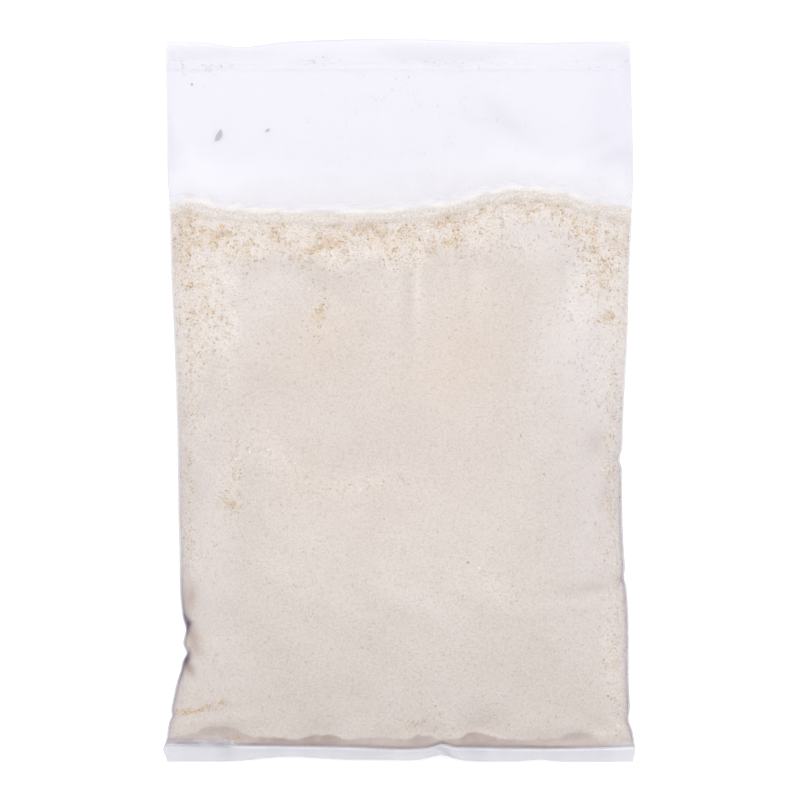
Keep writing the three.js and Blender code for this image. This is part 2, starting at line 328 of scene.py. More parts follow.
@dataclass(frozen=True)
class BagForm:
    """The filled bag, as its front and back film over one outline.

    A flat tube of film is sealed at both ends. Its thickness is an ellipse-like curve on
    each side of the fullest station. Above the crumbs the front film leaves them on a
    tangent and sinks by a decay to the empty part. Film doesn't stretch, so the outline
    narrows by the square of the thickness.
    """

    flat_width: float
    length: float
    full_thickness: float
    wall: float = 0.8
    fullest_y: float = -75
    crumb_line_y: float = 97
    top_seal_y: float = 170.8
    bottom_seal_y: float = -176.9
    bottom_seal_slant: float = -0.004
    bottom_seal_bow: float = 1.1
    seal_band: float = 3.2
    seal_relief: float = 0.2
    seal_height: float = 15
    side_height: float = 17
    flap_tip_height: float = 7
    flap_curl: float = 3.5
    bottom_rounding: float = 2.6
    top_rounding: float = 2.2
    top_reach: float = 11
    back_rounding: float = 4
    back_press: float = 1.03
    back_rise: float = 30
    side_take_up: float = 1.463
    drape_share: float = 0.932
    sink_run: float = 40
    seal_to_side: float = 50
    flap_droop_power: float = 1.3
    droop_from_y: float = 20
    droop_past_line: float = 18
    waves_from: float = 16
    waves_full: float = 34
    ripple_height: float = 0.9
    ripple_length: float = 17
    flap_fold_height: float = 3.2
    flap_fold_x: tuple[float, float] = (17, 27)
    flap_fold_width: float = 3.6
    flap_wave: float = 1.3
    small_flap_wave: float = 0.6
    marks_full_depth: float = 12
    face_ripple: float = 0.35
    face_ripple_length: float = 9
    outermost_share: float = 0.98

    @classmethod
    def in_box(cls, low: Vector, high: Vector) -> BagForm:
        """The form that fills a CAD box.

        The box is wider than the flat tube by a flared corner, longer than the bag by a
        crest of its upper edge, and higher than the crumbs by the film and a ripple.

        Args:
            low: the box's lowest corner, in metres.
            high: its highest corner.

        Returns:
            The form.
        """
        corner_flare, edge_crest, face_crest = 0.81, 0.2, 0.98
        size = (high - low) / MM
        return cls(size.x - corner_flare, size.y - edge_crest, size.z - face_crest)

    def crumb_line(self, x: Array) -> Array:
        """The crumbs' top line: a level with low mounds."""
        return self.crumb_line_y + rises(MOUNDS, x)

    def lower_seal(self, x: Array) -> Array:
        """The lower heat seal's upper edge: a slant, a shallow parabola and low waves."""
        bow = self.bottom_seal_bow * (x / (self.flat_width / 2)) ** 2
        return self.bottom_seal_y + self.bottom_seal_slant * x + bow + rises(SEAL_WAVES, x)

    def upper_edge(self, x: Array) -> Array:
        """The upper flap's cut edge."""
        return self.length / 2 - 1.3 + rises(TOP_EDGE_WAVES, x)

    def lower_edge(self, x: Array) -> Array:
        """The lower flap's cut edge."""
        return -self.length / 2 + rises(BOTTOM_EDGE_WAVES, x)

    def thickness(self, x: Array, y: Array) -> Array:
        """Front to back at the bag's middle.

        Args:
            x: places across the bag, which set where the crumbs end.
            y: places along the bag.

        Returns:
            The root of 1 less a power of the share of the way to the crumbs' end, and past
            the tangent point a decay that closes at the upper seal.
        """
        below = y < self.fullest_y
        end = np.where(below, self.lower_seal(x), self.crumb_line(x) + self.top_reach)
        run = end - self.fullest_y
        share = np.clip((y - self.fullest_y) / run, 0, 1)
        power = np.where(below, self.bottom_rounding, self.top_rounding)
        filled = np.sqrt(np.maximum(0, 1 - share**power))
        depth = math.sqrt(1 - self.drape_share**self.top_rounding)
        steep = -self.top_rounding * self.drape_share ** (self.top_rounding - 1)
        past = y - (self.fullest_y + self.drape_share * run)
        closed = self.top_seal_y - self.seal_band / 2
        open_share = 1 - smoothstep(y, self.crumb_line_y + self.sink_run, closed)
        sunk = depth * np.exp(steep / (2 * run * depth**2) * np.maximum(0, past)) * open_share
        return self.full_thickness * np.where(below | (share < self.drape_share), filled, sunk)

    def side_level(self, x: Array, y: Array) -> Array:
        """Height of the side folds, which droop to the surface past the crumbs, and of the
        lower flap, which droops past its seal by a power of the way out.

        Args:
            x: places across the bag.
            y: places along the bag.

        Returns:
            The heights.
        """
        seal = self.lower_seal(x)
        out = np.clip((seal - y) / (seal - self.lower_edge(x)), 0, 1)
        flap = blend(self.seal_height, self.flap_tip_height, out**self.flap_droop_power)
        body = blend(self.seal_height, self.side_height, smoothstep(y, seal, seal + self.seal_to_side))
        drooped = smoothstep(y, self.droop_from_y, self.crumb_line_y + self.droop_past_line)
        body = body * (1 - drooped)
        return np.where(y < seal, flap, body)

    def lift(self, x: Array, y: Array) -> Array:
        """Waves that lift both films together in the empty part and in the flaps.

        Args:
            x: places across the bag.
            y: places along the bag.

        Returns:
            Ripples, soft folds and the upper flap's curl over the empty part, and a fold
            that slants out with two sine waves over the lower flap.
        """
        empty = smoothstep(y, self.crumb_line_y + self.waves_from, self.crumb_line_y + self.waves_full)
        flap = smoothstep(y, self.top_seal_y, self.length / 2)
        ripples = self.ripple_height * (1 + ripple(x, y, self.ripple_length, 0.4)) / 2
        curl = self.flap_curl * flap * (0.65 + 0.35 * np.sin(x / 21 + 0.8))
        upper = empty * (ripples + relief(EMPTY_FOLDS, x, y) * (1 - flap) + curl)
        out = 1 - smoothstep(y, self.lower_edge(x), self.lower_seal(x))
        fold = self.flap_fold_height * bell(x - blend(*self.flap_fold_x, out), self.flap_fold_width)
        waves = self.flap_wave * np.sin(x / 13 + 0.5) + self.small_flap_wave * np.sin(x / 5.1)
        return upper + out * (fold + waves)

    def half_width(self, side: Array, y: Array) -> Array:
        """The outline's distance from the middle.

        Args:
            side: negative on the left, positive on the right.
            y: places along the bag.

        Returns:
            Half of the flat width, less a share that grows with the square of the
            thickness, and less the side marks.
        """
        narrowing = self.side_take_up * (self.thickness(np.zeros_like(y), y) / self.flat_width) ** 2
        left = sum(m.depth * bell(y - m.y, m.width) for m in SIDE_MARKS if m.side < 0)
        right = sum(m.depth * bell(y - m.y, m.width) for m in SIDE_MARKS if m.side > 0)
        return self.flat_width / 2 * (1 - narrowing) - np.where(side < 0, left, right)

    def back_depth(self, x: Array, y: Array) -> Array:
        """How far the back hangs below the side folds.

        Args:
            x: places across the bag.
            y: places along the bag.

        Returns:
            The side folds' height, less in a quarter round at the lower seal.
        """
        seal = self.lower_seal(x)
        risen = smoothstep(y, seal, seal + self.back_rise)
        return self.side_level(x, y) * np.sqrt(np.maximum(0, 1 - (1 - risen) ** 2))

    def edge_level(self, x: Array, y: Array) -> Array:
        """Height at which front and back film meet at a side."""
        return self.side_level(x, y) + self.lift(x, y)

    def back(self, across: Array, x: Array, y: Array) -> Array:
        """Height of the back film, whose curve is pressed flat where it would reach lower.

        Args:
            across: share of the half-width, from -1 to 1.
            x: places across the bag.
            y: places along the bag.

        Returns:
            The heights.
        """
        curve = np.sqrt(np.maximum(0, 1 - np.abs(across) ** self.back_rounding))
        pressed = np.minimum(1, self.back_press * curve)
        return self.edge_level(x, y) - self.back_depth(x, y) * pressed

    def front(self, across: Array, x: Array, y: Array) -> Array:
        """Height of the front film: an ellipse over the side folds, with its marks.

        Args:
            across: share of the half-width, from -1 to 1.
            x: places across the bag.
            y: places along the bag.

        Returns:
            The heights.
        """
        filled = self.thickness(x, y) - self.back_depth(x, y)
        filled = np.where(y > self.lower_seal(x), filled, 0)
        round_share = np.sqrt(np.maximum(0, 1 - across**2))
        full = smoothstep(filled, 0, self.marks_full_depth) * (1 - across**10)
        ripples = self.face_ripple * ripple(x, y, self.face_ripple_length, 1.1)
        marks = relief(FACE_MARKS, x, y) - ripples
        in_seal = np.abs(y - self.top_seal_y) < self.seal_band / 2
        rise = filled * round_share + marks * full + self.seal_relief * in_seal
        return self.edge_level(x, y) + rise + self.wall

    def inside_height(self, x: Array, y: Array) -> Array:
        """Height just behind the front film.

        Args:
            x: places across the bag.
            y: places along the bag.

        Returns:
            The heights, held from just inside the outline outwards.
        """
        across = x / self.half_width(np.sign(x), y)
        across = np.clip(across, -self.outermost_share, self.outermost_share)
        return self.front(across, x, y) - self.wall


# ---- Meshes ----


@dataclass
class Surface:
    """A grid of points with outward normals and named values at each point."""

    points: Array
    normals: Array
    values: dict[str, Array]

    @classmethod
    def closed_across(cls, points: Array, values: dict[str, Array]) -> Surface:
        """A tube-like grid whose columns run round it.

        The normal is the cross product of the steps along the columns and the rows.

        Args:
            points: rows by columns by 3.
            values: named values at each point.

        Returns:
            The surface with its normals.
        """
        around = np.roll(points, -1, axis=1) - np.roll(points, 1, axis=1)
        along = np.gradient(points, axis=0)
        normals = np.cross(around, along)
        length = np.linalg.norm(normals, axis=2, keepdims=True)
        return cls(points, normals / np.maximum(length, 1e-9), values)

    def scatter(
        self, weight: Array, count: int, rng: np.random.Generator
    ) -> tuple[Array, Array, dict[str, Array]]:
        """Random places on the surface.

        A cell is drawn with its area times weight as its chance, and the place in it by
        two even shares, which mix the cell's four corners.

        Args:
            weight: chance for each unit of area, at each point.
            count: how many places.
            rng: the random source.

        Returns:
            Places, unit normals and values there.
        """
        columns = weight.shape[1]
        p = self.points
        side = np.roll(p, -1, axis=1)[:-1] - p[:-1]
        up = p[1:] - p[:-1]
        area = np.linalg.norm(np.cross(side, up), axis=2)
        chance = (area * weight[:-1]).ravel()
        cells = rng.choice(chance.size, size=count, p=chance / chance.sum())
        row, column = cells // columns, cells % columns
        after = (column + 1) % columns
        a, b = rng.random(count), rng.random(count)

        def mixed(grid: Array) -> Array:
            """The grid's value at each drawn place.

            Args:
                grid: rows by columns, or rows by columns by 3.

            Returns:
                A mix of the four corners of each drawn cell.
            """
            s, t = (a, b) if grid.ndim == 2 else (a[:, None], b[:, None])
            low = blend(grid[row, column], grid[row, after], s)
            high = blend(grid[row + 1, column], grid[row + 1, after], s)
            return blend(low, high, t)

        normals = mixed(self.normals)
        normals /= np.maximum(np.linalg.norm(normals, axis=1, keepdims=True), 1e-9)
        return mixed(p), normals, {name: mixed(grid) for name, grid in self.values.items()}


def quads(index: Array) -> Array:
    """The four-cornered faces between neighbours of a grid of point numbers."""
    return np.stack([index[:-1, :-1], index[:-1, 1:], index[1:, 1:], index[1:, :-1]], -1).reshape(-1, 4)


def make_mesh(
    name: str, points: Array, faces: list[Array], values: dict[str, Array], smooth: bool
) -> bpy.types.Object:
    """A mesh object at the origin, from whole arrays.

    Args:
        name: of the object.
        points: n by 3, in millimetres.
        faces: arrays of point numbers, one row for each face.
        values: named values at each point, kept as attributes.
        smooth: shades the faces smooth.

    Returns:
        The linked object.
    """
    loops = np.concatenate([block.ravel() for block in faces])
    sizes = np.concatenate([np.full(len(block), block.shape[1]) for block in faces])
    starts = np.concatenate(([0], np.cumsum(sizes)[:-1]))
    mesh = bpy.data.meshes.new(name)
    mesh.vertices.add(len(points))
    mesh.vertices.foreach_set("co", (points * MM).astype(np.float32).ravel())
    mesh.loops.add(len(loops))
    mesh.loops.foreach_set("vertex_index", loops.astype(np.int32))
    mesh.polygons.add(len(sizes))
    mesh.polygons.foreach_set("loop_start", starts.astype(np.int32))
    mesh.polygons.foreach_set("use_smooth", np.full(len(sizes), smooth))
    for key, value in values.items():
        mesh.attributes.new(key, "FLOAT", "POINT").data.foreach_set("value", value.astype(np.float32))
    mesh.update(calc_edges=True)
    mesh.validate()
    piece = bpy.data.objects.new(name, mesh)
    bpy.context.scene.collection.objects.link(piece)
    return piece


# ---- Finishes ----


class NodeTree:
    """Writes the shader nodes of one material."""

    def __init__(self, name: str) -> None:
        """Starts an empty material.

        Args:
            name: of the material.
        """
        self.material = bpy.data.materials.new(name)
        self.material.use_nodes = True
        self.material.node_tree.nodes.clear()

    def add(self, kind: str, inputs: dict | None = None, **settings: object) -> bpy.types.Node:
        """One node.

        Args:
            kind: the node's type name, without its ShaderNode prefix.
            inputs: socket name or number to a value or to another node's output.
            **settings: the node's own properties.

        Returns:
            The node.
        """
        node = self.material.node_tree.nodes.new("ShaderNode" + kind)
        for key, value in settings.items():
            setattr(node, key, value)
        for key, value in (inputs or {}).items():
            if isinstance(value, bpy.types.NodeSocket):
                self.material.node_tree.links.new(value, node.inputs[key])
            else:
                node.inputs[key].default_value = value
        return node

    def noise(self, per_metre: float, detail: float = 2.0, roughness: float = 0.5) -> bpy.types.NodeSocket:
        """Noise over object coordinates, from 0 to 1.

        Args:
            per_metre: its fineness.
            detail: how many finer layers it has.
            roughness: how strong they are.

        Returns:
            The noise's socket.
        """
        place = self.add("TexCoord").outputs["Object"]
        sockets = {"Vector": place, "Scale": per_metre, "Detail": detail, "Roughness": roughness}
        return self.add("TexNoise", sockets).outputs["Fac"]

    def value(self, name: str) -> bpy.types.NodeSocket:
        """A named value that the mesh carries."""
        return self.add("Attribute", attribute_name=name).outputs["Fac"]

    def spread(
        self, source: bpy.types.NodeSocket, low: float, high: float, to: tuple[float, float]
    ) -> bpy.types.NodeSocket:
        """Maps low to to[0] and high to to[1], held at the ends."""
        sockets = {"Value": source, 1: low, 2: high, 3: to[0], 4: to[1]}
        return self.add("MapRange", sockets).outputs[0]

    def mixed(self, share: bpy.types.NodeSocket, first: object, second: object) -> bpy.types.NodeSocket:
        """A mix of two colours.

        Args:
            share: of the second.
            first: a colour or a colour's socket.
            second: the other.

        Returns:
            The mixed colour's socket.
        """
        node = self.add("Mix", data_type="RGBA")
        for number, value in ((0, share), (6, first), (7, second)):
            if isinstance(value, bpy.types.NodeSocket):
                self.material.node_tree.links.new(value, node.inputs[number])
            else:
                node.inputs[number].default_value = (*value, 1.0) if number else value
        return node.outputs[2]

    def bump(self, height: bpy.types.NodeSocket, depth: float) -> bpy.types.NodeSocket:
        """A bumped normal, from a height of 0 to 1 and its depth in metres."""
        return self.add("Bump", {"Height": height, "Distance": depth, "Strength": 1.0}).outputs[0]

    def finish(self, shader: bpy.types.Node) -> bpy.types.Material:
        """Ends the tree with this shader."""
        self.add("OutputMaterial", {"Surface": shader.outputs[0]})
        return self.material


@dataclass(frozen=True)
class FilmFinish:
    """Thin clear film: it tints what is behind it, darker where shade is painted into it, has a faint
    milky haze that grows in the seals and fine powder at the crumb line, and reflects softly."""

    tint: Colour = (0.938, 0.935, 0.950)
    # The tint where shade is painted
    painted_shade_tint: Colour = (0.24, 0.21, 0.33)
    haze_colour: Colour = (0.83, 0.83, 0.87)
    dust_colour: Colour = (0.79, 0.737, 0.70)
    roughness: float = 0.2
    ior: float = 1.45
    most_gloss: float = 0.3
    grazing_gloss: float = 0.9
    wrinkles_per_metre: float = 55
    wrinkle_depth: float = 0.0007
    powder_per_metre: float = 900

    def material(self) -> bpy.types.Material:
        """The film's material.

        Returns:
            Clear film, whose tint darkens towards the shade tint where shade is painted, mixed with
            haze, then with powder, then with a gloss that grows towards grazing light up to a limit.
        """
        tree = NodeTree("clear_film")
        wrinkles = tree.bump(tree.noise(self.wrinkles_per_metre, 3.0), self.wrinkle_depth)
        # Painted shade darkens the film's tint
        tint = tree.mixed(tree.value("painted_shade"), self.tint, self.painted_shade_tint)
        clear = tree.add("BsdfTransparent", {"Color": tint})
        milky = tree.add("BsdfDiffuse", {"Color": (*self.haze_colour, 1), "Normal": wrinkles})
        hazy = tree.add("MixShader", {0: tree.value("haze"), 1: clear.outputs[0], 2: milky.outputs[0]})
        powder = tree.add("BsdfDiffuse", {"Color": (*self.dust_colour, 1), "Normal": wrinkles})
        specks = tree.spread(tree.noise(self.powder_per_metre, 4.0, 0.7), 0.35, 0.65, (0.75, 1.25))
        specks = tree.add("Math", {0: tree.value("dust"), 1: specks}, operation="MULTIPLY").outputs[0]
        specks = tree.spread(specks, 0.15, 0.9, (0.0, 0.9))
        dusty = tree.add("MixShader", {0: specks, 1: hazy.outputs[0], 2: powder.outputs[0]})
        gloss = tree.add("BsdfGlossy", {"Roughness": self.roughness, "Normal": wrinkles})
        facing = tree.add("Fresnel", {"IOR": self.ior, "Normal": wrinkles})
        share = tree.spread(facing.outputs[0], 0, 1, (0.0, self.grazing_gloss))
        share = tree.add("Math", {0: share, 1: self.most_gloss}, operation="MINIMUM").outputs[0]
        mix = {0: share, 1: dusty.outputs[0], 2: gloss.outputs[0]}
        return tree.finish(tree.add("MixShader", mix))


@dataclass(frozen=True)
class HeapFinish:
    """Crumbs as one body: pale cream, with a grain of its own size, warmer where there is
    crust among them, with shade painted in their folds and hollows and light painted on film highlights and
    the sides."""

    pale: Colour = (0.68, 0.617, 0.563)
    light: Colour = (0.74, 0.682, 0.633)
    loose: Colour = (0.87, 0.812, 0.75)
    warm: Colour = (0.76, 0.58, 0.36)
    # Painted light: a cooler, lighter tone
    cool_painted_light: Colour = (0.77, 0.73, 0.71)
    # Painted shade of folds and hollows
    painted_crumb_shade: Colour = (0.45, 0.36, 0.33)
    grain_per_metre: float = 900
    clouds_per_metre: float = 24
    most_warm: float = 0.36
    most_cool_painted_light: float = 0.8

    def material(self) -> bpy.types.Material:
        """The heap's material.

        Returns:
            The pale tone with soft clouds and a fine grain, mixed by the mesh's values
            with the loose, warm or cool tone and the tone of the hollows.
        """
        tree = NodeTree("crumb_heap")
        grain = tree.noise(self.grain_per_metre, 4.0, 0.65)
        clouds = tree.spread(tree.noise(self.clouds_per_metre, 3.0), 0.35, 0.65, (0.0, 0.6))
        base = tree.mixed(clouds, self.pale, self.light)
        # The loose value also carries painted light, which lightens towards the loose tone
        base = tree.mixed(tree.value("loose"), base, self.loose)
        # Mottled tone that is also painted shade and light: darker where the bumped grain is low, lighter
        # where it is high
        darker = tuple(channel * share for channel, share in zip(self.pale, (0.86, 0.82, 0.78)))
        base = tree.mixed(tree.spread(grain, 0.36, 0.52, (0.6, 0.0)), base, darker)
        base = tree.mixed(tree.spread(grain, 0.5, 0.66, (0.0, 0.55)), base, self.light)
        toast = tree.value("toast")
        base = tree.mixed(tree.spread(toast, 0, 1, (0.0, self.most_warm)), base, self.warm)
        # Below zero, the toast value paints light as a cooler, lighter tone
        base = tree.mixed(tree.spread(toast, -1, 0, (self.most_cool_painted_light, 0.0)), base, self.cool_painted_light)
        # Painted shade of folds and hollows
        base = tree.mixed(tree.value("painted_crumb_shade"), base, self.painted_crumb_shade)
        shader = {"Base Color": base, "Roughness": 0.9, "Specular IOR Level": 0.2}
        shader["Normal"] = tree.bump(grain, 0.00035)
        return tree.finish(tree.add("BsdfPrincipled", shader))


@dataclass(frozen=True)
class GrainFinish:
    """Single crumbs, each with its own tone between two colours."""

    name: str
    dark: Colour
    light: Colour
    roughness: float = 0.85
    pores_per_metre: float = 2600

    def material(self) -> bpy.types.Material:
        """The crumbs' material.

        Returns:
            Each crumb's own tone, with shade painted in its pores.
        """
        tree = NodeTree(self.name)
        pores = tree.noise(self.pores_per_metre, 2.0)
        base = tree.mixed(tree.value("tone"), self.dark, self.light)
        # Painted shade in the pores
        painted_shade = tuple(channel * 0.8 for channel in self.dark)
        base = tree.mixed(tree.spread(pores, 0.45, 0.75, (0.0, 0.45)), base, painted_shade)
        shader = {"Base Color": base, "Roughness": self.roughness, "Specular IOR Level": 0.25}
        shader["Normal"] = tree.bump(pores, 0.0002)
        return tree.finish(tree.add("BsdfPrincipled", shader))


PALE_GRAINS = GrainFinish("pale_crumb", (0.77, 0.705, 0.635), (0.925, 0.885, 0.84))
PRESSED_GRAINS = GrainFinish("pressed_crumb", (0.60, 0.53, 0.465), (0.76, 0.70, 0.648))
CRUST_GRAINS = GrainFinish("toasted_crumb", (0.48, 0.32, 0.185), (0.93, 0.81, 0.61), 0.7)
LIP_GRAINS = GrainFinish("lip_crumb", (0.68, 0.62, 0.56), (0.76, 0.71, 0.66))
DUST_GRAINS = GrainFinish("clinging_crumb", (0.30, 0.27, 0.27), (0.62, 0.58, 0.58))
FLAKES = GrainFinish("crumb_flake", (0.62, 0.59, 0.61), (0.70, 0.67, 0.70))


# ---- Film ----


@dataclass
class FilmBag:
    """The film bag: front and back film over the same grid, joined along the outline."""

    form: BagForm
    finish: FilmFinish = field(default_factory=FilmFinish)
    columns: int = 146
    close_columns: tuple[tuple[float, float, int], ...] = ((-88, -82, 6), (15, 32, 14))
    bands: tuple[tuple[int, str], ...] = (
        (8, "seal below"),
        (7, "seal"),
        (46, "lower end"),
        (50, "creases"),
        (60, "body"),
        (46, "crumb line"),
        (36, "upper seal below"),
        (8, "upper seal"),
        (9, "edge"),
    )
    lower_end_y: float = -140
    creases_end_y: float = -97
    body_end_y: float = 62
    sinking_end_y: float = 120
    inset: float = 0.3
    least_gap: float = 0.25
    pucker: float = 0.3
    # Milkiness of each part
    plain_haze: float = 0.012
    seal_fill_haze: float = 0.03
    seal_line_haze: float = 0.09
    seal_haze: float = 0.35
    right_seal_haze: float = 0.35
    flap_haze: float = 0.42
    # Above the crumb line, haze that is partly painted light over the crumbs' shade
    line_haze_and_painted_light: float = 0.3
    line_reach: float = 2.5
    drape_haze_and_painted_light: float = 0.21
    drape_reach: float = 14
    side_haze: float = 0.06
    # Powder, which sets in below the crumb line and ends above it
    line_dust: float = 0.62
    dust_start: tuple[float, float] = (-9, -3.5)
    dust_end: tuple[float, float] = (-0.5, 2.2)
    # Shade painted into the film's tint, for each part
    right_rim_shade: float = 0.36
    side_shade: float = 0.05
    edge_shade: float = 0.05
    seal_shade: float = 0.28
    flap_shade: float = 0.25
    empty_shade: float = 0.128
    # The hazy strip over the lower left of the seal
    strip_end_x: float = -85
    strip_top: tuple[float, float] = (2.2, 3.2)
    strip_haze: float = 0.12
    strip_mottle: float = 0.3
    strip_end_haze: float = 0.25
    strip_shade: float = 0.42

    def rows(self, x: Array) -> Array:
        """Places along the bag of every row, at each column's x.

        Args:
            x: places across the bag.

        Returns:
            Rows by columns: straight steps inside each band, and steps that widen by a
            cosine up the lower end.
        """
        form = self.form
        ends = {
            "seal below": form.lower_seal(x) - form.seal_band,
            "seal": form.lower_seal(x),
            "lower end": np.full_like(x, self.lower_end_y),
            "creases": np.full_like(x, self.creases_end_y),
            "body": np.full_like(x, self.body_end_y),
            "crumb line": np.full_like(x, self.sinking_end_y),
            "upper seal below": np.full_like(x, form.top_seal_y - 0.6 * form.seal_band),
            "upper seal": np.full_like(x, form.top_seal_y + 0.6 * form.seal_band),
            "edge": form.upper_edge(x),
        }
        blocks, start = [form.lower_edge(x)[None]], form.lower_edge(x)
        for count, name in self.bands:
            share = np.linspace(0, 1, count + 1)[1:, None]
            if name == "lower end":
                share = 1 - np.cos(share * math.pi / 2)
            blocks.append(blend(start, ends[name], share))
            start = ends[name]
        return np.concatenate(blocks)

    def over_strip(self, x: Array, below: Array, start: tuple[float, float]) -> Array:
        """How far a place is on the hazy strip: 1 on it, 0 off it, by three smooth steps.

        Args:
            x: places across the bag.
            below: distance below the seal's upper edge.
            start: heights over the edge between which the strip sets in.

        Returns:
            The share.
        """
        left = smoothstep(-x, -self.strip_end_x - 1, -self.strip_end_x)
        return left * smoothstep(-below, *start) * (1 - smoothstep(-below, *self.strip_top))

    def haze(self, x: Array, y: Array, inside: Array) -> Array:
        """Milkiness: faint all over, stronger in both seals, in the lower flap, just above
        the crumb line and along the side folds. Just above the crumb line it is partly painted light, which
        lightens the shade the crumbs cast on the floor under the film.

        Args:
            x: places across the bag.
            y: places along the bag.
            inside: distance from the nearer side edge.

        Returns:
            The share of light that the film scatters.
        """
        form = self.form
        upper = np.abs(y - form.top_seal_y)
        lines = self.seal_line_haze * bell(upper - form.seal_band / 2, 0.3)
        uneven = 0.4 + 0.9 * grain_noise(x, y, 9, 4)
        top = self.seal_fill_haze * smoothstep(-upper, -form.seal_band / 2, -1.0) + lines
        below = form.lower_seal(x) - y
        bottom = self.seal_haze * bell(below - 0.9, 0.4) * smoothstep(x, -90, -80)
        flap = self.flap_haze * smoothstep(below, 0, 1.2) * (0.85 + 0.3 * grain_noise(x, 0.3 * y, 8, 5))
        mottled = self.strip_haze + self.strip_mottle * grain_noise(x, y, 4, 6)
        strip = self.over_strip(x, below, (-1, 0)) * mottled
        strip_end = self.strip_end_haze * bell(x - self.strip_end_x, 0.7) * bell(below + 1.4, 1.1)
        right = self.right_seal_haze * smoothstep(x, 84, 100) * bell(below + 1.2, 1.0)
        right = right * grain_noise(x, y, 5, 7)
        # The haze above the crumb line is partly painted light over the shade the crumbs cast behind the
        # film
        above = y - form.crumb_line(x) - 2.5 * (grain_noise(x, y, 7, 9) - 0.5)
        away = np.maximum(above, 0)
        near = self.line_haze_and_painted_light * bell(away, self.line_reach) + self.drape_haze_and_painted_light * bell(away, self.drape_reach)
        near = near * smoothstep(above, -2, 0.8)
        sides = self.side_haze * bell(inside, 2.6) * smoothstep(y, -120, -20)
        haze = (top + bottom) * uneven + flap + strip + strip_end + right + near + sides
        return np.clip(self.plain_haze + haze, 0, 1)

    def painted_shade(self, x: Array, y: Array, inside: Array) -> Array:
        """Shade painted into the film's tint, where film folded on itself or lying in shade looks dark.

        Args:
            x: places across the bag.
            y: places along the bag.
            inside: distance from the nearer side edge.

        Returns:
            The painted shade: the creases, a line along both lower side edges, one along the seal, a
            faint one along the whole outline, and the parts where both films lie close: the side
            folds, the lower flap, the strip over the seal and the empty part.
        """
        form = self.form
        low = smoothstep(-y, 10, 60) * smoothstep(y, -184, -176)
        left = 0.12 + 0.36 * bell(y + 106, 16) + 0.3 * bell(y + 146, 14)
        rim = bell(inside, 0.7) * np.where(x < 0, left, self.right_rim_shade) * low
        sides = self.side_shade * bell(inside, 3.5) * smoothstep(-y, -30, 10)
        ends = np.minimum(form.upper_edge(x) - y, y - form.lower_edge(x))
        edge = self.edge_shade * np.exp(-np.minimum(inside, ends) / 1.3)
        below = form.lower_seal(x) - y
        seal = self.seal_shade * bell(below + 0.35, 0.5) * smoothstep(x, -86, -80)
        # The flap's painted shade stands in for the bag's shadow under it; the empty part's dims the glowing
        # floor seen through the film
        flap = self.flap_shade * smoothstep(below, 0.2, 1.4)
        strip = self.strip_shade * self.over_strip(x, below, (-2, -1))
        empty = self.empty_shade * smoothstep(y - form.crumb_line(x), 5, 32)
        painted_shade = rim + sides + edge + seal + flap + strip + empty + relief(PAINTED_FILM_SHADES, x, y)
        return np.clip(painted_shade, 0, 1)

    def dust(self, x: Array, y: Array) -> Array:
        """Powder that clings to the film along the crumb line, thinning out above it."""
        above = y - self.form.crumb_line(x) - 2.2 * (grain_noise(x, y, 5, 8) - 0.4)
        return self.line_dust * smoothstep(above, *self.dust_start) * (1 - smoothstep(above, *self.dust_end))

    def sharpen_rim(self, mesh: bpy.types.Mesh, on_rim: Array) -> None:
        """Marks the edges along the outline sharp, so that neither film's shading bends there.

        Args:
            mesh: the film's mesh.
            on_rim: whether each of its points is on the outline.
        """
        ends = np.empty(2 * len(mesh.edges), np.int32)
        mesh.edges.foreach_get("vertices", ends)
        mesh.edges.foreach_set("use_edge_sharp", on_rim[ends.reshape(-1, 2)].all(axis=1))

    def build(self) -> bpy.types.Object:
        """The film's closed mesh.

        Both films share the map from grid to outline: across is a sine of the column, so
        that columns are packed where the sides turn over, with more columns where the
        lower flap is creased, and x is across times the half-width at that row.

        Returns:
            The film's object.
        """
        form = self.form
        across = np.sin(np.linspace(-0.5, 0.5, self.columns + 1) * math.pi)
        close = [np.linspace(*stretch) / (form.flat_width / 2) for stretch in self.close_columns]
        across = np.unique(np.concatenate([across, *close]))
        y = self.rows(across * form.flat_width / 2)
        across = np.broadcast_to(across, y.shape)
        x = across * form.half_width(np.sign(across), y)
        creased = relief(FILM_CREASES, x, y, sharp=True)
        pucker = self.pucker * np.sin(x * 2.6 + 2 * np.sin(x / 9)) * bell(y - form.top_seal_y, 1.4)
        front = form.front(across, x, y) + creased + pucker - self.inset
        back = form.back(across, x, y)
        rim = np.ones(y.shape, bool)
        rim[1:-1, 1:-1] = False
        front = np.where(rim, form.edge_level(x, y), np.maximum(front, back + self.least_gap))

        index = np.arange(y.size).reshape(y.shape)
        inner = index.copy()
        inner_count = (y.shape[0] - 2) * (y.shape[1] - 2)
        inner[1:-1, 1:-1] = y.size + np.arange(inner_count).reshape(y.shape[0] - 2, -1)
        front_points = np.dstack([x, y, front]).reshape(-1, 3)
        back_points = np.dstack([x, y, back])[1:-1, 1:-1].reshape(-1, 3)
        points = np.concatenate([front_points, back_points])
        inside = form.half_width(np.sign(across), y) * (1 - np.abs(across))
        haze = self.haze(x, y, inside)
        # The shade value is painted shade on the front film; the back film gets none
        fields = {"haze": haze, "painted_shade": self.painted_shade(x, y, inside), "dust": self.dust(x, y)}
        plain = {"haze": haze, "painted_shade": 0 * x, "dust": 0 * x}
        values = {
            key: np.concatenate([grid.ravel(), plain[key][1:-1, 1:-1].ravel()])
            for key, grid in fields.items()
        }
        faces = [quads(index), quads(inner)[:, ::-1]]
        film = make_mesh("film_bag", points, faces, values, smooth=True)
        self.sharpen_rim(film.data, np.concatenate([rim.ravel(), np.zeros(inner_count, bool)]))
        film.data.materials.append(self.finish.material())
        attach(film, BODY)
        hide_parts(NODE)
        return film


# ---- Crumbs as one body ----

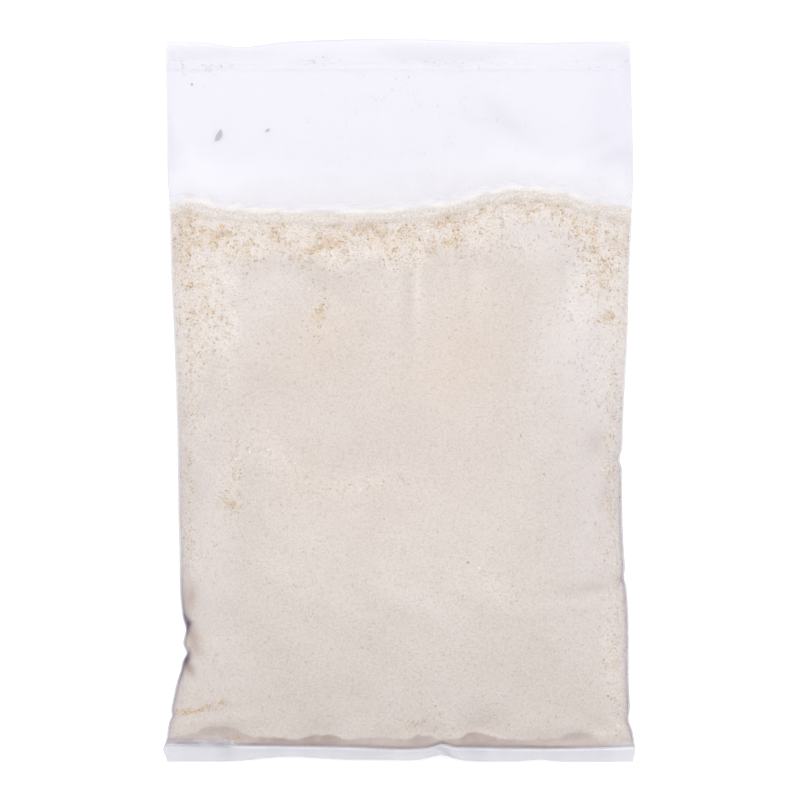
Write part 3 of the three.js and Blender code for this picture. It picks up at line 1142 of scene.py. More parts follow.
# Where golden crust is thick among the crumbs
CRUST_CLUSTERS = (
    # along the crumb line
    Mark(-108, 93, 8, 4, 90, 0.7),
    Mark(-106, 78, 10, 4, 90, 0.45),
    Mark(-92.5, 84.5, 5, 3.2, -20, 0.9),
    Mark(-85, 78, 7, 2.4, -20, 0.35),
    Mark(-60, 84, 8, 4, 0, 0.3),
    Mark(-34, 83, 13, 3.4, 37, 1.0),
    Mark(-21, 89, 9, 3.6, 5, 0.9),
    Mark(-4, 84.5, 6, 5, 0, 0.55),
    Mark(23.5, 87, 8, 4.4, 80, 1.0),
    Mark(44, 97, 8, 3, 0, 0.28),
    Mark(72, 100, 12, 3, -4, 0.4),
    Mark(92, 84, 8, 4, -40, 0.25),
    # down the left side
    Mark(-105.6, 59.5, 4, 2.6, 0, 1.1),
    Mark(-108, 60, 40, 3, 90, 0.2),
    Mark(-101, 47, 10, 4, 80, 0.65),
    Mark(-97, 34, 9, 5, 60, 0.4),
    Mark(-98, 10, 14, 8, 90, 0.15),
    Mark(-107, -30, 34, 3, 90, 0.24),
    Mark(-107, -55, 10, 3, 90, 0.2),
    Mark(-85, -36, 14, 3.6, 80, 0.4),
    Mark(-85, -53, 5, 3, 0, 0.78),
    Mark(-108, -77, 3, 3, 0, 0.4),
    # amid the face
    Mark(-40.5, 47, 6, 2, 80, 1.2),
    Mark(-42, 30, 12, 6, 90, 0.2),
    Mark(-58, -29, 15, 5, -45, 0.24),
    Mark(-40, -48, 5, 2.4, 0, 0.35),
    Mark(-15, -42.5, 16, 3, 6, 0.3),
    Mark(12, 3, 14, 2.4, 8, 0.14),
    Mark(48, -94, 8, 3, -50, 0.2),
    # down the right side
    Mark(102, 79, 20, 7, 84, 0.32),
    Mark(103, 60, 6, 5, 0, 0.25),
    Mark(105, 41, 4, 2.6, 20, 0.65),
    Mark(107, 10, 44, 3, 90, 0.18),
    Mark(106, -43, 26, 3.4, 88, 0.28),
    Mark(110, -94, 5, 2.4, 90, 0.3),
    Mark(108, -137, 6, 3, 90, 0.45),
    Mark(109, -120, 8, 3, 90, 0.3),
    # near the lower seal
    Mark(-107, -159, 5, 0.9, 8, 2.6),
    Mark(-96, -156, 6, 0.9, 14, 0.8),
    Mark(-88, -153, 5, 1.2, 10, 0.5),
    Mark(-83, -171.5, 4, 0.9, -6, 1.2),
    Mark(19, -167, 9, 3, -12, 0.45),
    Mark(8, -164, 9, 2.4, 20, 0.3),
    Mark(-100, -166, 9, 2.4, 12, 0.2),
    Mark(112, -170, 4, 2, 0, 0.5),
)
# Where the crumbs have a warmer tone, with only a little crust among them. Negative marks paint light as a
# cooler, lighter tone on film highlights and the sides; the three at the left creases warm the painted shade
# there
WARM_TONES_AND_PAINTED_LIGHT = (
    Mark(-42, 36, 24, 15, 20, 0.34),
    Mark(32, 30, 26, 17, 70, 0.34),
    Mark(0, 8, 40, 12, 0, 0.16),
    Mark(-52, -22, 26, 10, -45, 0.14),
    Mark(-10, -46, 46, 16, 8, 0.14),
    Mark(94, 30, 34, 14, 90, -0.8),
    Mark(68, 84, 18, 8, -10, -0.7),
    Mark(-70, 56, 22, 14, 40, -0.4),
    Mark(98, -62, 44, 12, 90, -0.5),
    Mark(-98, -74, 40, 10, 90, -0.4),
    Mark(-104.8, -121.6, 3.4, 2.4, -75, 1.1),
    Mark(-107.2, -136.2, 2.4, 1.6, -65, 1.1),
    Mark(-106, -100, 5, 2.4, 90, 0.8),
)
# Where smooth crumbs are looser than round them
ROUGH_PATCHES = (
    Mark(-85, -38, 12, 5, 75, 0.4),
    Mark(-62, -28, 16, 7, -45, 0.3),
    Mark(-18, -42, 16, 5, 8, 0.36),
    Mark(-40, 44, 9, 5, 80, 0.3),
    Mark(48, -94, 9, 4, -50, 0.28),
    Mark(112, -158, 10, 5, 90, 0.3),
)
# Where film presses the crumbs smooth amid looser ones
CALM_PATCHES = (
    Mark(71, 82, 15, 7, -10, 0.9),
    Mark(97, 31, 6, 5, 0, 0.9),
    Mark(-62, 60, 14, 8, 20, 0.5),
    Mark(-96, 20, 5, 12, 0, 0.4),
)
# Shade painted on the crumbs in hollows, where film folds over crumbs or stands off them
PAINTED_HOLLOW_SHADES = (
    Mark(-108.4, -113.5, 3.4, 1.2, -75, 0.7),
    Mark(-108.6, -132, 3, 1.2, 72, 0.7),
    Mark(-107.2, -136.4, 3, 1.5, -65, 0.95),
    Mark(-105, -121.6, 4.4, 2, -75, 0.62),
    Mark(-102.2, -128, 3, 1.4, -50, 0.16),
    Mark(-109.5, -104, 6, 2.4, 85, 0.34),
    Mark(-105.8, -99.5, 4, 1.5, 88, 0.45),
    Mark(100, -22, 3.5, 5.5, 0, 0.22),
    Mark(105, -52, 3, 12, 0, 0.16),
    Mark(98, -95, 9, 1.6, 8, 0.3),
    Mark(3.4, 58, 24, 1.5, 90, 0.1),
    Mark(0, -26, 60, 26, 0, 0.06),
    Mark(33, 60, 18, 1.5, 90, 0.05),
)


@dataclass(frozen=True)
class FoldPoint:
    """A corner of the edge of film that is folded back over the crumbs' lower end: its
    place, its height over the seal and how much shade is painted on the crumbs under the fold."""

    x: float
    height: float
    dark: float


FOLD_EDGE = (
    FoldPoint(-120, 1.5, 0.15),
    FoldPoint(-110, 5, 0.28),
    FoldPoint(-105, 6, 0.38),
    FoldPoint(-97, 9.8, 0.38),
    FoldPoint(-84, 8.8, 0.39),
    FoldPoint(-77, 5.2, 0.5),
    FoldPoint(-68, 4.5, 0.78),
    FoldPoint(-51, 4.2, 0.8),
    FoldPoint(-44, 6.3, 0.88),
    FoldPoint(-35, 6.6, 0.95),
    FoldPoint(-29, 4.4, 0.65),
    FoldPoint(-19, 5, 0.5),
    FoldPoint(-10, 6.1, 0.42),
    FoldPoint(3, 5.6, 0.5),
    FoldPoint(8, 7.2, 0.72),
    FoldPoint(15, 6.8, 0.65),
    FoldPoint(20, 2.4, 0.3),
    FoldPoint(27, 4.4, 0.6),
    FoldPoint(36, 8, 0.82),
    FoldPoint(42, 7.6, 0.8),
    FoldPoint(53, 4.8, 0.6),
    FoldPoint(64, 4.6, 0.48),
    FoldPoint(80, 5.6, 0.42),
    FoldPoint(89, 8.4, 0.45),
    FoldPoint(97, 8, 0.38),
    FoldPoint(102, 6, 0.3),
    FoldPoint(112, 6.5, 0.14),
    FoldPoint(120, 2, 0.1),
)
# Painted light on the crumbs: highlights where film touches them closely or runs in soft ridges, and on the
# sides
PAINTED_LIGHT_PATCHES = (
    Mark(71, 84, 15, 7, -10, 0.5),
    Mark(97, 32, 6, 4.5, 0, 0.4),
    Mark(82, 26, 32, 15, 76, 0.16),
    Mark(9.2, 66, 22, 1.5, 90, 0.5),
    Mark(-4, 62, 18, 4, 90, 0.12),
    Mark(40.5, 68, 15, 3, 90, 0.18),
    Mark(-75, 56, 28, 9, 74, 0.2),
    Mark(-89, 18, 20, 3.4, 84, 0.22),
    Mark(-92, -22, 50, 9, 88, 0.12),
    Mark(-98, -72, 14, 7, 90, 0.2),
    Mark(115, 30, 74, 3.4, 90, 0.5),
)


@dataclass(frozen=True)
class Speck:
    """A single dark bit among the crumbs."""

    x: float
    y: float
    radius: float


SPECKS = (
    Speck(34.2, -82, 0.95),
    Speck(-8, -60, 0.4),
    Speck(61, -18, 0.4),
    Speck(-44, -108, 0.35),
    Speck(105.8, -150.5, 0.5),
    Speck(107.6, -151.8, 0.5),
    Speck(111.6, -155.6, 0.4),
    Speck(111.2, -160, 0.4),
    Speck(110, -168.3, 0.35),
    Speck(-38, 51.5, 0.6),
    Speck(-38.8, 48.5, 0.55),
)


@dataclass
class CrumbHeap:
    """The crumbs that fill the film, out to their uneven surface.

    Its sections are closed rings, finely divided over the front and coarsely over the
    back. It ends at the crumb line in a steep, rounded face that the film spans.
    """

    form: BagForm
    finish: HeapFinish = field(default_factory=HeapFinish)
    cover: float = 0.5
    side_gap: float = 0.6
    seal_gap: float = 0.3
    guide_gap: float = 6
    face_run: float = 2
    back_columns: int = 72
    fineness: int = 4
    row_count: int = 255
    low_end: float = 0.045
    rough_height: float = 0.6
    smooth_height: float = 0.14
    band_depth: tuple[float, float] = (13, 36)
    left_limits: tuple[float, float] = (106, 86)
    right_limits: tuple[float, float] = (103, 91)
    side_looseness: tuple[float, float] = (0.45, 0.9)
    band_crust: float = 0.28

    def looseness(self, x: Array, y: Array) -> Array:
        """Where crumbs lie loose behind the film: 1 loose, 0 pressed smooth.

        Args:
            x: places across the bag.
            y: places along the bag.

        Returns:
            The most of a band under the crumb line and a strip along each side, each with
            a ragged border, with the rough patches and without the calm ones.
        """
        ragged = 12 * (grain_noise(x, y, 16, 11) - 0.5) + 7 * (grain_noise(x, y, 5, 12) - 0.5)
        under = self.form.crumb_line(x) - y
        top = 1 - smoothstep(under + ragged, *self.band_depth)
        left_limit = blend(*self.left_limits, smoothstep(y, -30, 30) * (1 - smoothstep(y, 88, 96)))
        left = smoothstep(-x + ragged, left_limit - 8, left_limit + 6) * smoothstep(y, -110, -70)
        right_limit = blend(*self.right_limits, smoothstep(y, 10, 45))
        right = smoothstep(x + ragged, right_limit - 7, right_limit + 5) * smoothstep(y, -160, -140)
        sides = blend(*self.side_looseness, smoothstep(y, -10, 40)) * np.maximum(left, right)
        loose = np.maximum(top, sides)
        return np.clip(loose + relief(ROUGH_PATCHES, x, y) - relief(CALM_PATCHES, x, y), 0, 1)

    def crust(self, x: Array, y: Array) -> Array:
        """How thick golden crust is among the crumbs.

        Args:
            x: places across the bag.
            y: places along the bag.

        Returns:
            From 0 to 2: clusters over a faint band under the crumb line, broken up by
            noise.
        """
        under = self.form.crumb_line(x) - y
        band = self.band_crust * smoothstep(under, 2, 10) * (1 - smoothstep(under, 24, 40))
        patchy = 0.6 * grain_noise(x, y, 2.4, 21) + 0.4 * grain_noise(x, y, 7, 22)
        ragged = 0.25 + 1.7 * smoothstep(patchy, 0.3, 0.75)
        return np.clip((relief(CRUST_CLUSTERS, x, y) + band) * ragged, 0, 2)

    def fold_shadow(self, x: Array, y: Array) -> Array:
        """Shade painted where film is folded back over the lower end.

        Args:
            x: places across the bag.
            y: places along the bag.

        Returns:
            Even up to the fold's ragged edge, which straight lines join from point to
            point, and darkest along the seal.
        """
        up = y - self.form.lower_seal(x)
        places = [point.x for point in FOLD_EDGE]
        crown = np.interp(x, places, [point.height for point in FOLD_EDGE])
        ragged = grain_noise(x, 0 * x, 5, 51) + 0.7 * grain_noise(x, 0 * x, 2, 52) - 0.8
        crown = crown + 0.9 * ragged
        under = np.interp(x, places, [point.dark for point in FOLD_EDGE])
        under = under * (1 - smoothstep(up, crown - 0.9, crown + 0.7))
        line = 1.2 * (1 - smoothstep(up, 0.9, 2.8)) * smoothstep(x, -82, -74)
        line = line * (1 - smoothstep(x, 60, 110))
        return np.maximum(under, line) * (0.9 + 0.4 * grain_noise(x, y, 3.2, 53))

    def surface(self) -> Surface:
        """The heap's smooth surface.

        Rows run from just inside the lower seal to the crumb line, closer at the lower end.
        Front and back lie inside the film by the cover. Over the last stretch the front
        falls to the back as a power of a sine of the way left to the crumb line.

        Returns:
            A grid closed across, with its values.
        """
        form = self.form
        step = np.linspace(-1, 1, self.back_columns * self.fineness + 1)
        over = 0.5 * step + 0.5 * np.sin(step * math.pi / 2)
        ring = np.concatenate([over, over[:: self.fineness][-2:0:-1]])
        low_rows = self.row_count // 8
        low_share = np.linspace(0, self.low_end, low_rows, endpoint=False)
        high_share = np.linspace(self.low_end, 1, self.row_count - low_rows)
        share = np.concatenate([low_share, high_share])
        guide = ring * (form.flat_width / 2 - self.guide_gap)
        low, high = form.lower_seal(guide) + self.seal_gap, form.crumb_line(guide)
        y = blend(low[None], high[None], share[:, None])
        across = np.broadcast_to(ring, y.shape)
        side = np.sign(across)
        x = across * (form.half_width(side, y) - self.side_gap)

        level = form.edge_level(x, y)
        back = form.back(across, x, y)
        back = np.minimum(level, back + 0.6 * self.cover * smoothstep(level - back, 0, 2))
        front = form.front(across, x, y) - form.wall
        front = np.maximum(level, front - self.cover * smoothstep(front - level, 0, 2))
        left = (form.crumb_line(x) - y) / self.face_run
        meet = form.crumb_line(x) - self.face_run
        crest = form.front(across, x, meet) - form.wall - self.cover
        face = back + (crest - back) * np.sin(np.clip(left, 0, 1) * math.pi / 2) ** 0.5
        front = np.where(left < 1, np.minimum(front, np.maximum(face, back + 0.1)), front)

        is_front = np.arange(ring.size) < over.size
        z = np.where(is_front, front, back)
        values = {
            "loose": self.looseness(x, y) * is_front,
            "toast": self.crust(x, y) * is_front,
            # painted shade of folds and hollows
            "painted_crumb_shade": np.clip(relief(PAINTED_HOLLOW_SHADES, x, y) + self.fold_shadow(x, y), 0, 1) * is_front,
            "face": smoothstep(-left, -1.15, -0.75) * is_front,
        }
        return Surface.closed_across(np.stack([x, y, z], -1), values)

    def cap(self, ring: Array) -> Array:
        """Faces that close an end ring: one for each back step and the front steps over it.

        Args:
            ring: the end's point numbers, front from left to right, then back.

        Returns:
            The faces, one row each.
        """
        front = ring[: self.back_columns * self.fineness + 1]
        back = np.concatenate([ring[:1], ring[front.size :][::-1], front[-1:]])
        first = np.arange(self.back_columns) * self.fineness
        over = front[first[:, None] + np.arange(self.fineness + 1)]
        return np.column_stack([over, back[1:], back[:-1]])[1:-1]

    def build(self, smooth: Surface) -> bpy.types.Object:
        """The heap's closed mesh: its smooth surface, sunk along its normals by noise.

        Args:
            smooth: the smooth surface.

        Returns:
            The heap's object.
        """
        step = np.diff(smooth.points[:, :, [0, 2]], axis=1, prepend=smooth.points[:, -1:, [0, 2]])
        around = np.cumsum(np.linalg.norm(step, axis=2), axis=1)
        y = smooth.points[:, :, 1]
        coarse = grain_noise(around, y, 2.6, 31)
        fine = grain_noise(around, y, 1.3, 32)
        loose = smooth.values["loose"]
        rough = self.rough_height * (0.25 + 0.6 * coarse + 0.3 * fine)
        flat = self.smooth_height * (0.6 * coarse + 0.6 * fine)
        ends = np.minimum(np.arange(len(y)), np.arange(len(y))[::-1])[:, None]
        sunk = blend(flat, rough, loose) * np.clip(ends / 3, 0, 1)
        points = smooth.points - smooth.normals * sunk[:, :, None]
        index = np.arange(y.size).reshape(y.shape)
        wrapped = np.concatenate([index, index[:, :1]], axis=1)
        faces = [quads(wrapped), self.cap(index[0])[:, ::-1], self.cap(index[-1])]
        # Painted light: the light patches raise the loose value, which lightens the crumbs towards the loose
        # tone
        light = np.clip(loose + relief(PAINTED_LIGHT_PATCHES, smooth.points[:, :, 0], y), 0, 1)
        # Warm marks below zero paint light
        warm = relief(WARM_TONES_AND_PAINTED_LIGHT, smooth.points[:, :, 0], y)
        toast = smooth.values["toast"] * blend(0.35, 0.8, loose)
        toast = toast * smoothstep(toast, 0.05, 0.6) + warm
        values = {"toast": toast, "painted_crumb_shade": smooth.values["painted_crumb_shade"], "loose": light}
        values = {key: grid.ravel() for key, grid in values.items()}
        heap = make_mesh("crumb_heap", points.reshape(-1, 3), faces, values, smooth=True)
        heap.data.materials.append(self.finish.material())
        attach(heap, BODY)
        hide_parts(NODE)
        return heap


# ---- Single crumbs ----


class GrainForm(Enum):
    """How a single crumb is shaped: its three half-lengths as shares of its radius."""

    CHUNK = (1.0, 0.85, 0.6)
    PRESSED = (1.0, 0.85, 0.38)


RING_CORNERS = 5
CRUMB_CORNERS = RING_CORNERS + 2


@dataclass
class Grains:
    """Many small crumbs as one mesh.

    Each is a double pyramid over a five-cornered ring, ten faces, with every corner moved
    in or out at random.
    """

    name: str
    grain: GrainForm
    finish: GrainFinish
    slot: str
    uneven: float = 0.3
    tilt: float = 0.25

    def corners(self, count: int, rng: np.random.Generator) -> Array:
        """The corners of each crumb, for a radius of 1.

        Args:
            count: how many crumbs.
            rng: the random source.

        Returns:
            count by 7 by 3: a ring of five and a corner on each side of it.
        """
        angle = np.arange(RING_CORNERS) * (2 * math.pi / RING_CORNERS)
        ring = np.stack([np.cos(angle), np.sin(angle), np.zeros(RING_CORNERS)], -1)
        solid = np.concatenate([ring, [[0, 0, 1], [0, 0, -1]]])
        jitter = 1 + self.uneven * rng.uniform(-1, 1, (count, CRUMB_CORNERS, 1))
        return solid * np.array(self.grain.value) * jitter

    def turns(self, normals: Array, rng: np.random.Generator) -> Array:
        """A rotation for each crumb, whose third column is its own upward direction.

        Args:
            normals: the surface's direction at each crumb.
            rng: the random source.

        Returns:
            count by 3 by 3: upward is the normal, a little tilted, and the other two
            columns are drawn round it.
        """
        count = len(normals)
        up = normals + self.tilt * rng.normal(size=(count, 3))
        up /= np.linalg.norm(up, axis=1, keepdims=True)
        first = np.cross(up, rng.normal(size=(count, 3)))
        first /= np.linalg.norm(first, axis=1, keepdims=True)
        return np.stack([first, np.cross(up, first), up], -1)

    def build(
        self, centres: Array, normals: Array, radii: Array, tones: Array, rng: np.random.Generator
    ) -> bpy.types.Object:
        """The mesh of all crumbs.

        Args:
            centres: count by 3.
            normals: the surface's direction at each.
            radii: of each.
            tones: of each, from 0, dark, to 1, light.
            rng: the random source.

        Returns:
            The crumbs' object.
        """
        count = len(centres)
        local = self.corners(count, rng) * radii[:, None, None]
        turned = np.einsum("nij,nkj->nki", self.turns(normals, rng), local)
        points = (turned + centres[:, None]).reshape(-1, 3)
        ring = np.arange(RING_CORNERS)
        after = (ring + 1) % RING_CORNERS
        top = np.stack([ring, after, np.full_like(ring, RING_CORNERS)], -1)
        bottom = np.stack([after, ring, np.full_like(ring, RING_CORNERS + 1)], -1)
        start = CRUMB_CORNERS * np.arange(count)[:, None, None]
        faces = (start + np.concatenate([top, bottom])).reshape(-1, 3)
        values = {"tone": np.repeat(tones, CRUMB_CORNERS)}
        piece = make_mesh(self.name, points, [faces], values, smooth=False)
        piece.data.materials.append(self.finish.material())
        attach(piece, BODY)
        return piece


@dataclass(frozen=True)
class LooseKind:
    """One kind of loose crumbs: its piece's name, how many, their middle radius, how deep
    they lie at most and which random draws they take."""

    name: str
    count: int
    radius: float
    depth: float
    seed: int


LOOSE_KINDS = (
    LooseKind("loose_crumbs", 18500, 0.66, 0.6, 1),
    LooseKind("fine_crumbs", 15000, 0.4, 0.5, 2),
)


@dataclass
class SurfaceCrumbs:
    """Single crumbs on the heap: loose ones, pressed ones and golden crust."""

    heap: CrumbHeap
    smooth: Surface
    pressed_count: int = 15500
    pressed_radius: float = 0.55
    crust_count: int = 8200
    crust_radius: float = 0.36
    stand_out: float = 1.2

    def sizes(self, count: int, middle: float, spread: float, rng: np.random.Generator) -> Array:
        """Radii around a middle size, by a random power, within 0.5 and 1.8 times it."""
        return middle * np.clip(np.exp(spread * rng.normal(size=count)), 0.5, 1.8)

    def loose(self, kind: LooseKind) -> bpy.types.Object:
        """Loose crumbs, behind the film or standing out of the heap's face.

        Args:
            kind: which ones.

        Returns:
            The piece.
        """
        rng = np.random.default_rng(SEED + kind.seed)
        weight = self.smooth.values["loose"] ** 1.5 + 0.01 * (self.smooth.normals[:, :, 2] > 0)
        # Few loose crumbs where shade is painted
        weight = weight * (1 - 0.9 * self.smooth.values["painted_crumb_shade"])
        place, normal, value = self.smooth.scatter(weight, kind.count, rng)
        radius = self.sizes(kind.count, kind.radius, 0.32, rng)
        sunk = kind.depth * rng.random(kind.count) + 0.45 * radius
        sunk -= value["face"] * rng.random(kind.count) ** 2 * self.stand_out
        tone = np.clip(0.64 + 0.22 * rng.normal(size=kind.count) - 0.2 * value["toast"], 0, 1)
        grains = Grains(kind.name, GrainForm.CHUNK, PALE_GRAINS, "white_crumbs")
        centre = place - normal * sunk[:, None]
        centre[:, 2] = np.maximum(centre[:, 2], radius)
        return grains.build(centre, normal, radius, tone, rng)

    def pressed(self) -> bpy.types.Object:
        """Flat crumbs that film presses into the smooth face.

        Returns:
            The piece.
        """
        rng = np.random.default_rng(SEED + 3)
        up = self.smooth.normals[:, :, 2] > 0.05
        # No pressed crumbs where shade is painted
        weight = (1 - self.smooth.values["loose"]) * (1 - self.smooth.values["painted_crumb_shade"]) ** 2 * up
        place, normal, _ = self.smooth.scatter(weight, self.pressed_count, rng)
        radius = self.sizes(self.pressed_count, self.pressed_radius, 0.3, rng)
        sunk = 0.14 + 0.32 * radius * rng.random(self.pressed_count)
        tone = np.clip(0.5 + 0.25 * rng.normal(size=self.pressed_count), 0, 1)
        grains = Grains("pressed_crumbs", GrainForm.PRESSED, PRESSED_GRAINS, "white_crumbs")
        return grains.build(place - normal * sunk[:, None], normal, radius, tone, rng)

    def crust(self) -> bpy.types.Object:
        """Golden bits of crust, mostly in clusters, with a few large dark ones.

        Returns:
            The piece.
        """
        rng = np.random.default_rng(SEED + 4)
        up = self.smooth.normals[:, :, 2] > 0.0
        toast = self.smooth.values["toast"]
        weight = (toast**1.4 + 0.06 * self.smooth.values["loose"] + 0.006) * up
        place, normal, value = self.smooth.scatter(weight, self.crust_count, rng)
        radius = self.sizes(self.crust_count, self.crust_radius, 0.42, rng)
        radius = radius * (0.85 + 0.3 * value["loose"])
        sunk = 0.04 + (0.1 * radius + 0.5 * rng.random(self.crust_count)) * value["loose"]
        tone = rng.beta(1.9, 1.0, self.crust_count) * blend(0.75, 1.0, value["loose"])
        x, y, size = np.array([(speck.x, speck.y, speck.radius) for speck in SPECKS]).T
        z = self.heap.form.inside_height(x, y) - self.heap.cover - 0.1
        centres = np.concatenate([place - normal * sunk[:, None], np.column_stack([x, y, z])])
        normals = np.concatenate([normal, np.tile([0.0, 0.0, 1.0], (len(x), 1))])
        grains = Grains("toasted_crumbs", GrainForm.CHUNK, CRUST_GRAINS, "toasted_crumbs")
        radii, tones = np.concatenate([radius, size]), np.concatenate([tone, 0 * size])
        return grains.build(centres, normals, radii, tones, rng)


@dataclass(frozen=True)
class DustPatch:
    """Dust inside the empty part: middle, half-sizes and how many crumbs."""

    x: float
    y: float
    wide: float
    high: float
    count: int


@dataclass(frozen=True)
class Flake:
    """A thin oval flake: place, half-length, half-width and turn in degrees."""

    x: float
    y: float
    long: float
    short: float
    turn: float


@dataclass
class ClingingDust:
    """Fine crumbs and a few flakes that cling behind the front film of the empty part."""

    form: BagForm
    patches: tuple[DustPatch, ...] = (
        DustPatch(-102, 170.5, 9, 1.8, 60),
        DustPatch(-39, 173.5, 6, 2, 34),
        DustPatch(24, 173, 11, 1.6, 46),
        DustPatch(30, 169, 2, 0.4, 5),
        DustPatch(116, 173.5, 1.6, 1.4, 10),
        DustPatch(5, 155, 20, 8, 70),
        DustPatch(-8, 117, 38, 12, 190),
        DustPatch(-60, 128, 40, 22, 70),
        DustPatch(62, 132, 40, 26, 60),
    )
    lip_count: int = 2100
    lip_half: float = 115
    lip_start: float = -2.4
    lip_rise: float = 0.9
    lip_tufts: tuple[DustPatch, ...] = (
        DustPatch(-107.5, 104.3, 1.5, 1.0, 60),
        DustPatch(-77, 98.8, 1.8, 0.8, 50),
        DustPatch(-98, 99, 3, 0.8, 40),
    )
    flakes: tuple[Flake, ...] = (
        Flake(-92.8, 135.4, 3.3, 1.35, 63),
        Flake(-67.8, 138, 1.3, 0.75, 40),
        Flake(-106.6, 161.7, 0.7, 0.6, 0),
    )
    flake_sides: int = 14
    flake_rise: float = 0.15
    gap: float = 0.35
    widest: float = 117

    def specks(
        self, name: str, spot: Array, radius: Array, finish: GrainFinish, rng: np.random.Generator
    ) -> bpy.types.Object:
        """Small crumbs that touch the front film from behind.

        Args:
            name: of the piece.
            spot: x and y of each.
            radius: of each.
            finish: of all.
            rng: the random source.

        Returns:
            The piece.
        """
        height = self.form.inside_height(spot[:, 0], spot[:, 1]) - self.gap - radius / 3
        centre = np.column_stack([spot, np.maximum(height, radius)])
        up = np.tile([0.0, 0.0, 1.0], (len(spot), 1))
        grains = Grains(name, GrainForm.PRESSED, finish, "white_crumbs")
        return grains.build(centre, up, radius, rng.random(len(spot)), rng)

    def lip(self) -> bpy.types.Object:
        """Pale fine crumbs that stand on the crumb line and thin out above it.

        Returns:
            The piece.
        """
        rng = np.random.default_rng(SEED + 6)
        x = rng.uniform(-self.lip_half, self.lip_half, self.lip_count)
        patchy = grain_noise(x, 0 * x, 7, 41) + 0.6 * grain_noise(x, 0 * x, 2.5, 42)
        rise = rng.exponential(self.lip_rise, self.lip_count) * (0.5 + 2 * patchy)
        y = self.form.crumb_line(x) + self.lip_start + rise
        tufts = [rng.normal((p.x, p.y), (p.wide, p.high), (p.count, 2)) for p in self.lip_tufts]
        spot = np.concatenate([np.column_stack([x, y]), *tufts])
        radius = 0.14 + 0.2 * rng.random(len(spot)) ** 2
        return self.specks("lip_crumbs", spot, radius, LIP_GRAINS, rng)

    def build(self) -> list[bpy.types.Object]:
        """The dust, the crumbs on the crumb line and the flakes.

        Returns:
            The pieces.
        """
        rng = np.random.default_rng(SEED + 5)
        spots = [rng.normal((p.x, p.y), (p.wide, p.high), (p.count, 2)) for p in self.patches]
        spot = np.concatenate(spots)
        inside = (np.abs(spot[:, 0]) < self.widest) & (spot[:, 1] < self.form.length / 2 - 6)
        inside &= spot[:, 1] > self.form.crumb_line(spot[:, 0]) + 1
        spot = spot[inside]
        radius = 0.16 + 0.2 * rng.random(len(spot)) ** 3
        dust = self.specks("clinging_dust", spot, radius, DUST_GRAINS, rng)
        return [dust, self.lip(), self.crumb_flakes()]

    def crumb_flakes(self) -> bpy.types.Object:
        """Thin oval flakes of crumb, each an ellipse with a wobbling edge.

        Returns:
            One mesh of closed, low domes: each a ring with a raised and a sunken middle.
        """
        sides = self.flake_sides
        angle = np.arange(sides) * (2 * math.pi / sides)
        points, faces = [], []
        for number, flake in enumerate(self.flakes):
            wobble = 1 + 0.12 * np.sin(3 * angle + number) + 0.06 * np.sin(5 * angle)
            long, short = flake.long * np.cos(angle) * wobble, flake.short * np.sin(angle) * wobble
            turn = math.radians(flake.turn)
            x = flake.x + long * math.cos(turn) - short * math.sin(turn)
            y = flake.y + long * math.sin(turn) + short * math.cos(turn)
            z = self.form.inside_height(x, y) - self.gap
            high, low = z.mean() + self.flake_rise, z.mean() - self.flake_rise
            middle = [[flake.x, flake.y, high], [flake.x, flake.y, low]]
            start = number * (sides + 2)
            here = start + np.arange(sides)
            after = start + (np.arange(sides) + 1) % sides
            points.append(np.concatenate([np.column_stack([x, y, z]), middle]))
            faces.append(np.column_stack([here, after, np.full(sides, start + sides)]))
            faces.append(np.column_stack([after, here, np.full(sides, start + sides + 1)]))
        tone = np.full(len(self.flakes) * (sides + 2), 0.2)
        piece = make_mesh("crumb_flakes", np.concatenate(points), faces, {"tone": tone}, smooth=False)
        piece.data.materials.append(FLAKES.material())
        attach(piece, BODY)
        return piece


# ---- Studio ----


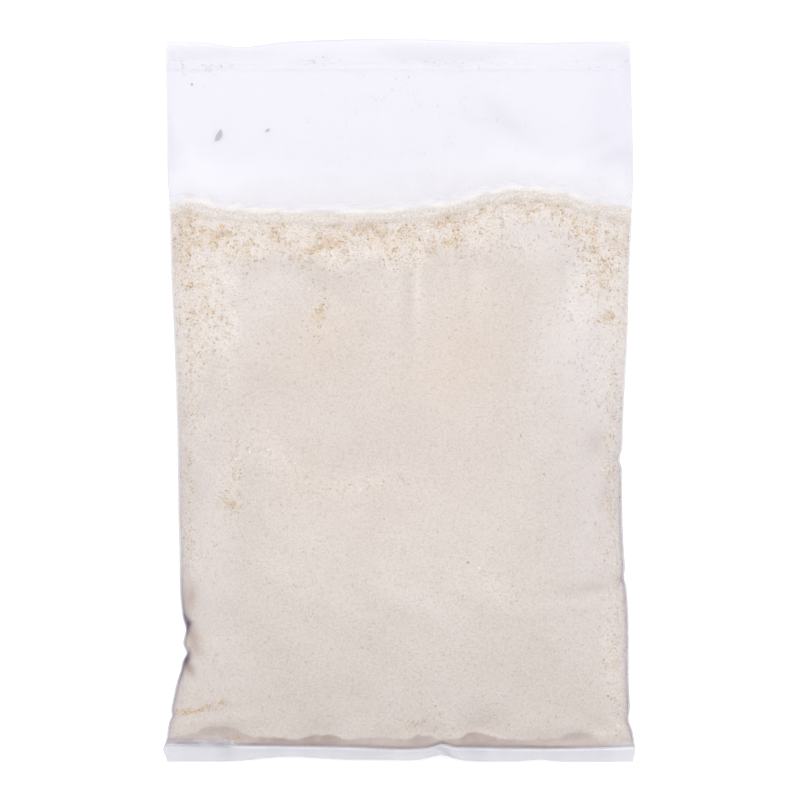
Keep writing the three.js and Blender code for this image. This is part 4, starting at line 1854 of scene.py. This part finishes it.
@dataclass
class Studio:
    """A pale floor, soft light from above the bag's upper end, and a camera that looks
    straight down."""

    middle: Vector
    view_width: float = 0.408
    camera_height: float = 3.0
    sensor: float = 36.0
    floor_half: float = 2000.0
    floor_z: float = -0.2
    floor_glow: float = 0.17
    light_place: tuple[float, float, float] = (0.02, 0.4, 1.9)
    light_size: float = 1.8
    light_watts: float = 13.0
    world_strength: float = 1.1

    def floor(self) -> None:
        """A wide, pale, even floor just under the bag, faintly lit from within."""
        ways = np.array([[-1, -1], [1, -1], [1, 1], [-1, 1]])
        corners = np.column_stack([ways * self.floor_half, np.full(4, self.floor_z)])
        floor = make_mesh("floor", corners, [np.arange(4)[None]], {}, smooth=False)
        tree = NodeTree("pale_floor")
        shader = {"Base Color": (0.93, 0.93, 0.93, 1), "Roughness": 0.9, "Specular IOR Level": 0.1}
        shader |= {"Emission Color": (1, 1, 1, 1), "Emission Strength": self.floor_glow}
        floor.data.materials.append(tree.finish(tree.add("BsdfPrincipled", shader)))

    def light(self) -> None:
        """One square soft light that faces the bag."""
        data = bpy.data.lights.new("key_light", "AREA")
        data.shape = "SQUARE"
        data.size = self.light_size
        data.energy = self.light_watts
        lamp = bpy.data.objects.new("key_light", data)
        lamp.location = self.light_place
        lamp.rotation_euler = (self.middle - lamp.location).to_track_quat("-Z", "Y").to_euler()
        bpy.context.scene.collection.objects.link(lamp)

    def build(self) -> None:
        """Floor, light, world and camera."""
        self.floor()
        self.light()
        world = bpy.data.worlds.new("studio")
        world.use_nodes = True
        sky = world.node_tree.nodes["Background"]
        sky.inputs[0].default_value = (1, 1, 1, 1)
        sky.inputs[1].default_value = self.world_strength
        bpy.context.scene.world = world
        bpy.context.scene.view_settings.view_transform = "Standard"
        data = bpy.data.cameras.new("camera")
        data.sensor_width = self.sensor
        data.lens = self.sensor * (self.camera_height - self.middle.z) / self.view_width
        camera = bpy.data.objects.new("camera", data)
        camera.location = (self.middle.x, self.middle.y, self.camera_height)
        bpy.context.scene.collection.objects.link(camera)
        bpy.context.scene.camera = camera


def main() -> None:
    """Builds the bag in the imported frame."""
    logging.basicConfig(level=logging.INFO, format="%(message)s")
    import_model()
    low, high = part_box(NODE)
    Studio(Vector((0, 0, 0.3 * high.z))).build()

    form = BagForm.in_box(low, high)
    LOG.info("form: %.1f wide, %.1f long, %.1f thick", form.flat_width, form.length, form.full_thickness)
    pieces = [FilmBag(form).build()]
    heap = CrumbHeap(form)
    smooth = heap.surface()
    pieces.append(heap.build(smooth))
    crumbs = SurfaceCrumbs(heap, smooth)
    pieces += [crumbs.loose(kind) for kind in LOOSE_KINDS]
    pieces += [crumbs.pressed(), crumbs.crust()]
    pieces += ClingingDust(form).build()
    for piece in pieces:
        LOG.info("%s: %d faces", piece.name, len(piece.data.polygons))
    triangles = sum(len(piece.data.loops) - 2 * len(piece.data.polygons) for piece in pieces)
    LOG.info("%d triangles in all", triangles)


if __name__ == "__main__":
    main()
